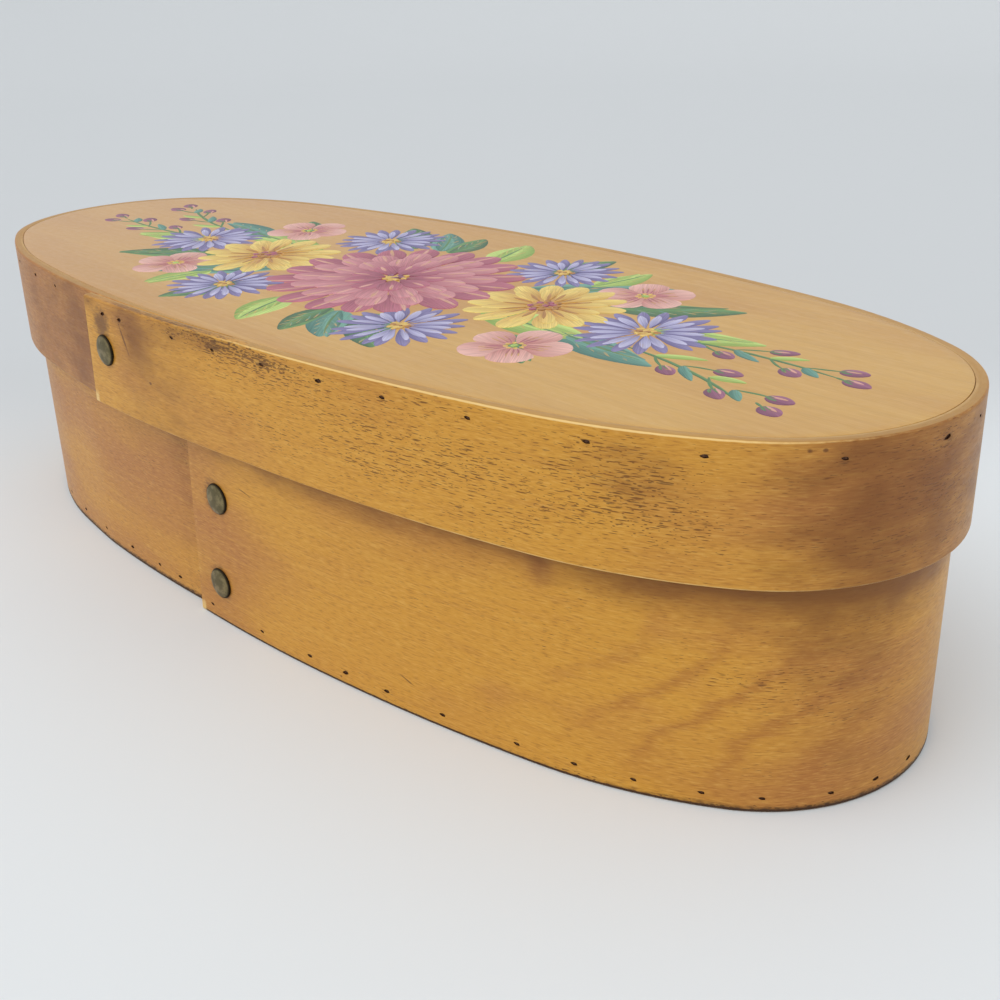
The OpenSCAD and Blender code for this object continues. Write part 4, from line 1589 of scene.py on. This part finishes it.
# %% [markdown]
# At last the strokes become a row of points with their numbers as attributes, and the tree
# turns them into the painting, which is one piece.

# %% The painting
stroke_points = point_row(
    "stroke_points", [item["spot"] for item in strokes],
    {key: [item[key] for item in strokes] for key in STROKE_KEYS + ("dark", "light")})
lid_paint = bake("lid_painting", stroke_points, BRUSH, Form=STROKE, Top=lid_high.z,
                 Material=ACRYLIC)


# %% [markdown]
# ## Wear, dirt, tone and painted shade
#
# A box that has been handled is never the same all over. Tone, pores, dirt, rubbed edges
# and a painted shade under the lid's rim are put where they were found, as soft patches that
# fade out over the sizes given. Each point of a band knows its distance along the strip and
# its height, so that the patches are plain sums over those two. Round every brad the iron
# has bled a little dark ring.

# %% Where the marks are
# Place along, place up, half length, half height, strength
LID_MARKS = {
    "rosy": [(0, 17, 12, 40, -0.2), (23, 24, 12, 16, 0.45), (70, 17, 45, 22, 0.2),
             (147, 12, 60, 22, -0.3), (262, 22, 36, 40, 0.75), (777, 17, 110, 60, 0.9),
             (871, 17, 20, 40, 0.6), (202, 24, 16, 10, 0.4), (560, 17, 90, 40, 0.5)],
    "flecks": [(97, 16, 50, 20, 0.3), (162, 17, 52, 22, 0.55), (203, 20, 22, 14, 0.5),
               (267, 14, 40, 30, 0.35), (77, 31, 45, 5, 0.45), (500, 17, 140, 30, 0.25)],
    "soot": [(28, 28, 5, 6, 0.2), (19, 24, 3, 9, 0.2), (57, 33, 20, 2.2, 0.27),
             (79, 32.5, 14, 2.4, 0.27), (99, 31.5, 10, 2.4, 0.22), (203, 22, 14, 8, 0.1),
             (213, 14, 12, 7, 0.08), (259, 22, 18, 13, 0.1), (282, 14, 30, 12, 0.1),
             (871, 18, 4, 24, 0.3), (859, 20, 7, 12, 0.15), (282, 30, 24, 5, 0.12),
             (3, 33, 5, 2, 0.3), (420, 12, 40, 5, 0.2), (600, 24, 30, 6, 0.2)],
    "umber": [(30, 25, 7, 9, 0.6), (40, 17, 30, 40, 0.35), (57, 32, 60, 3.5, 0.3),
              (202, 24, 14, 8, 0.5), (252, 18, 20, 30, 0.7), (286, 20, 28, 30, 0.65),
              (863, 17, 12, 40, 0.5), (832, 17, 40, 40, 0.5), (2, 33, 8, 3, 0.5),
              (470, 20, 60, 20, 0.3)],
    "figure": [(237, 17, 60, 40, 0.3), (450, 17, 900, 60, 0.2)],
}
BODY_MARKS = {
    "rosy": [(8, 30, 28, 70, 0.6), (108, 30, 40, 30, -0.15), (217, 20, 40, 60, 0.65),
             (802, 30, 120, 60, 0.7), (152, 50, 40, 20, -0.2), (500, 30, 80, 50, 0.5),
             (138, 54, 4, 7, 0.5), (131, 41, 7, 4, 0.5), (168, 47, 4, 5, 0.4),
             (160, 38, 6, 4, 0.4), (141, 28, 9, 3, 0.4), (124, 17, 7, 5, 0.45),
             (106, 11, 10, 4, 0.35), (176, 33, 5, 4, 0.4), (165, 25, 7, 3, 0.4)],
    "flecks": [(400, 50, 50, 14, 0.3), (207, 34, 28, 12, 0.4), (152, 44, 60, 12, 0.25),
               (822, 40, 60, 30, 0.2), (500, 40, 160, 50, 0.2)],
    "soot": [(871, 46, 3, 16, 0.22), (870, 12, 5, 10, 0.14), (216, 50, 10, 6, 0.14),
             (400, 10, 50, 5, 0.2), (640, 46, 30, 8, 0.2)],
    # The umber patches 61 mm up follow the lid's lower edge: a painted shade under the lid,
    # strongest on the front, and partly dirt
    "umber": [(868, 40, 9, 40, 0.35), (60, 61, 45, 8, 0.6), (205, 61, 75, 9, 0.95),
              (125, 61, 50, 6, 0.25), (560, 61, 290, 8, 0.33), (450, 79, 900, 15, 0.35),
              (138, 59, 2.5, 6, 0.3), (217, 48, 22, 14, 0.35),
              (216, 20, 20, 40, 0.25), (8, 42, 9, 8, 0.2), (4, 12, 11, 9, 0.25),
              (12, 28, 26, 12, 0.05), (420, 24, 60, 18, 0.3)],
    "figure": [(187, 26, 60, 30, 0.75), (450, 40, 900, 90, 0.25)],
}


def patches(u, v, spots):
    """The sum of soft patches at a point, all in millimetres along and up the strip."""
    return sum(strength * math.exp(-((u - at) / along) ** 2 - ((v - up) / high) ** 2)
               for at, up, along, high, strength in spots)


print("patches:", sum(len(spots) for marks in (LID_MARKS, BODY_MARKS)
                      for spots in marks.values()))


# %% [markdown]
# Edges are a matter of a few tenths of a millimetre. The very edge shows the cut wood, and
# the rounding next to it is painted pale, a little all round for wear and much more along
# the front as a painted highlight, on the lid's upper arris most of all. The lowest edge of
# the body is painted dark all round, a painted contact shadow that is partly dirt, and more
# of it from the right end onwards.

# %% Edges: wear, dirt, a painted highlight and a painted contact shadow
CUT = 0.06
RIDGE = 0.5


def fading(u, at, half, power):
    """A level stretch round a place along the strip, that falls away on either side."""
    return math.exp(-((u - at) / half) ** power)


def wear_at(band, u, v, top, found):
    """Adds the edge, its wear, a painted highlight and a painted contact shadow to a point's
    marks.
    """
    from_edge = min(v, top - v)
    on_ridge = CUT < from_edge < RIDGE
    ridge_wear_and_highlight = 0.3 if on_ridge else 0
    found["edge"] = 1.0 if from_edge < CUT else 0.0
    # The lowest millimetre of the body is painted dark: a painted contact shadow, partly dirt,
    # heavier from the right end onwards
    if band is BODY_BAND and v < 0.95:
        found["soot"] = 1.2 if v < 0.6 else 0.2 + 0.5 / (1 + math.exp((160 - u) / 20))
    if band is LID_BAND:
        if found["edge"] and u < 85:
            found["edge"] = 0.3
            found["soot"] += 0.3 * fading(u, 38, 30, 4)
        # Along the front the ridge is painted pale as a painted highlight, the upper arris most
        # of all
        if on_ridge and v > top / 2:
            ridge_wear_and_highlight = 0.35 + 0.55 * fading(u, 160, 80, 4)
        elif on_ridge:
            ridge_wear_and_highlight = 0.3 + 0.3 * fading(u, 190, 60, 4)
    lap_end = (0.7 if v < 3 else 0.34) * min(1, max(0, (4 - u) / 2))
    found["worn"] = max(ridge_wear_and_highlight, lap_end)


print("wear within", RIDGE, "mm of an edge")


# %% [markdown]
# The attributes are worked out for each point of a band. A point in a pit takes the tone
# of the wood round its brad, because its own distance along the strip isn't known.

# %% Attributes for the bands
BLEED = 2.0 * MM


def mark(piece, band, low, high, marks, spots):
    """Works out a band's attributes from where each of its points lies."""
    mesh = piece.data
    count = len(mesh.vertices)
    travel, inside = [0.0] * count, [0.0] * count
    mesh.attributes["travel"].data.foreach_get("value", travel)
    mesh.attributes["inside"].data.foreach_get("value", inside)
    in_pit = {v for face, pit in zip(mesh.polygons, mesh.attributes["pit"].data)
              if pit.value > 0.5 for v in face.vertices}
    tree = kdtree.KDTree(len(spots))
    for i, (spot, out) in enumerate(spots):
        tree.insert(spot, i)
    tree.balance()
    brads_at = [(nearest_on_oval(spot) - band["start"]) % ROUND for spot, out in spots]
    values = {key: [] for key in SPOT_KEYS + ("edge", "worn", "bare")}
    top = (high - low) / MM
    for vertex, along, inner in zip(mesh.vertices, travel, inside):
        brad, near = tree.find(vertex.co)[1:]
        pitted = vertex.index in in_pit
        u = (brads_at[brad] if pitted else along) / MM
        v = (vertex.co.z - low) / MM
        found = {key: patches(u, v, marks[key]) for key in SPOT_KEYS}
        found["soot"] += 0.22 * math.exp(-(near / BLEED) ** 2)
        wear_at(band, u, v, top, found)
        found["worn"] *= 0 if pitted else 1 - inner
        found["bare"] = inner
        for key, value in found.items():
            values[key].append(value)
    for key, numbers in values.items():
        store(mesh, key, numbers)
    print(piece.name, "marked at", count, "points")


mark(body_band, BODY_BAND, body_low.z, body_high.z, BODY_MARKS, bottom_spots)
mark(lid_band, LID_BAND, lid_low.z, lid_high.z, LID_MARKS, lid_spots)


# %% [markdown]
# ## Where each piece belongs
#
# A part that opens is only useful if each piece knows what it moves with. The body, the
# bottom and two rivets stay, and the lid carries its own board, brads, rivet and painting.
# Each piece that stands for a solid of the construction hides that solid.

# %% Bodies and replaced nodes
def settle(piece, body, slot, *nodes):
    """Puts a piece in the scene, on its body, in place of its nodes."""
    bpy.context.scene.collection.objects.link(piece)
    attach(piece, body)
    if nodes:
        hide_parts(*nodes)
    print(piece.name, "rides on", body)


settle(body_band, "base", "body_veneer", "body_band")
settle(bottom_board, "base", "bottom_wood", "bottom_board")
settle(bottom_brads, "base", "brad_iron", "bottom_brads")
settle(lid_band, "lid", "lid_veneer", "lid_band")
settle(lid_board, "lid", "lid_wood", "lid_board")
settle(lid_brads, "lid", "brad_iron", "lid_brads")
settle(lid_paint, "lid", "lid_paint")
for node, (body, band, grip) in RIVETS.items():
    settle(rivets[node], body, "rivet_brass", node)


# %% [markdown]
# ## Camera, floor and light
#
# The camera stands where the photographer stood. Its turn, height, roll, distance and lens
# were fitted to the outlines of the lid and the body in the photograph.

# %% Camera
TURN, HEIGHT, ROLL = (math.radians(a) for a in (45.48, 23.65, -1.59))
# The fit was made on a box 100 mm high
FIT = 0.95 * MM
TARGET = Vector((-10.68, 55.64, 0)) * FIT
DISTANCE = 503.23 * FIT
LENS = 46.596


def camera_like_the_photograph():
    """A camera whose place, tilt and lens were fitted to the box's outline."""
    back = Vector((math.sin(TURN) * math.cos(HEIGHT), -math.cos(TURN) * math.cos(HEIGHT),
                   math.sin(HEIGHT)))
    right = Vector((0, 0, 1)).cross(back).normalized()
    up = back.cross(right)
    across = right * math.cos(ROLL) + up * math.sin(ROLL)
    upright = up * math.cos(ROLL) - right * math.sin(ROLL)
    camera = bpy.data.objects.new("camera", bpy.data.cameras.new("camera"))
    camera.data.lens = LENS
    camera.data.sensor_width = 36
    turned = Matrix((across, upright, back)).transposed().to_4x4()
    camera.matrix_world = Matrix.Translation(TARGET + back * DISTANCE) @ turned
    bpy.context.scene.collection.objects.link(camera)
    bpy.context.scene.camera = camera
    return camera


camera = camera_like_the_photograph()
print("camera at", [round(c, 3) for c in camera.matrix_world.translation])


# %% [markdown]
# The photograph was taken on a pale table in even light, with hardly a shadow. The floor
# here is a wide shallow bowl, so that it has no horizon from any side. Its paint is a
# little paler in front of the box than behind it.

# %% The floor
FLAT = 1.5
RIM = 0.9


def pale_floor():
    """A wide dish with a flat middle and a rim that curves up."""
    profile = [(0, 0), (0.5, 0), (1.1, 0), (FLAT, 0)]
    profile += [(FLAT + RIM * math.sin(a), RIM - RIM * math.cos(a))
                for a in (math.pi / 2 * i / 12 for i in range(1, 13))]
    mesh = bmesh.new()
    spun(mesh, profile, 64)
    bmesh.ops.remove_doubles(mesh, verts=mesh.verts, dist=MM)
    for side in mesh.faces:
        side.smooth = True
    data = bpy.data.meshes.new("floor")
    mesh.to_mesh(data)
    mesh.free()
    floor = bpy.data.objects.new("floor", data)
    # Just under the box, so that the two never share a face
    floor.location.z = -0.1 * MM
    bpy.context.scene.collection.objects.link(floor)
    data.materials.append(table_paint())
    print("the floor is", 2 * (FLAT + RIM), "m wide")


def table_paint():
    """The plain paint of a pale table."""
    material = bpy.data.materials.new("painted_table")
    material.use_nodes = True
    tree = material.node_tree
    shader = tree.nodes["Principled BSDF"]
    place = add(tree, "ShaderNodeTexCoord", out=3)
    behind = add(tree, "ShaderNodeVectorMath", {0: place, 1: (-0.7, 0.7, 0)},
                 operation="DOT_PRODUCT", out=1)
    colour = tinted(tree, linear("#E5E9EA"), behind, 0.0, 0.22, 1.0, "#CED1D2")
    tree.links.new(colour, shader.inputs["Base Color"])
    shader.inputs["Roughness"].default_value = 0.7
    shader.inputs["Specular IOR Level"].default_value = 0.2
    return material


pale_floor()


# %% [markdown]
# Most of the light is the plain sky colour of the world. One broad sun gives the forms a
# light and a dark side. With the two together a flat white sheet would come out just below
# white.

# %% Light
world = bpy.data.worlds.new("soft_room")
bpy.context.scene.world = world
world.use_nodes = True
sky = world.node_tree.nodes["Background"]
sky.inputs["Color"].default_value = linear("#F2F4F8")
sky.inputs["Strength"].default_value = 0.82


def sun(name, direction, strength, softness):
    """A sun that shines from a direction, given as the way towards it."""
    light = bpy.data.lights.new(name, "SUN")
    light.energy = strength
    light.angle = math.radians(softness)
    lamp = bpy.data.objects.new(name, light)
    lamp.rotation_euler = Vector(direction).to_track_quat("Z", "Y").to_euler()
    bpy.context.scene.collection.objects.link(lamp)


sun("window", (-0.08, -0.8, 1.25), 1.1, 60)
scene = bpy.context.scene
scene.view_settings.view_transform = "Standard"
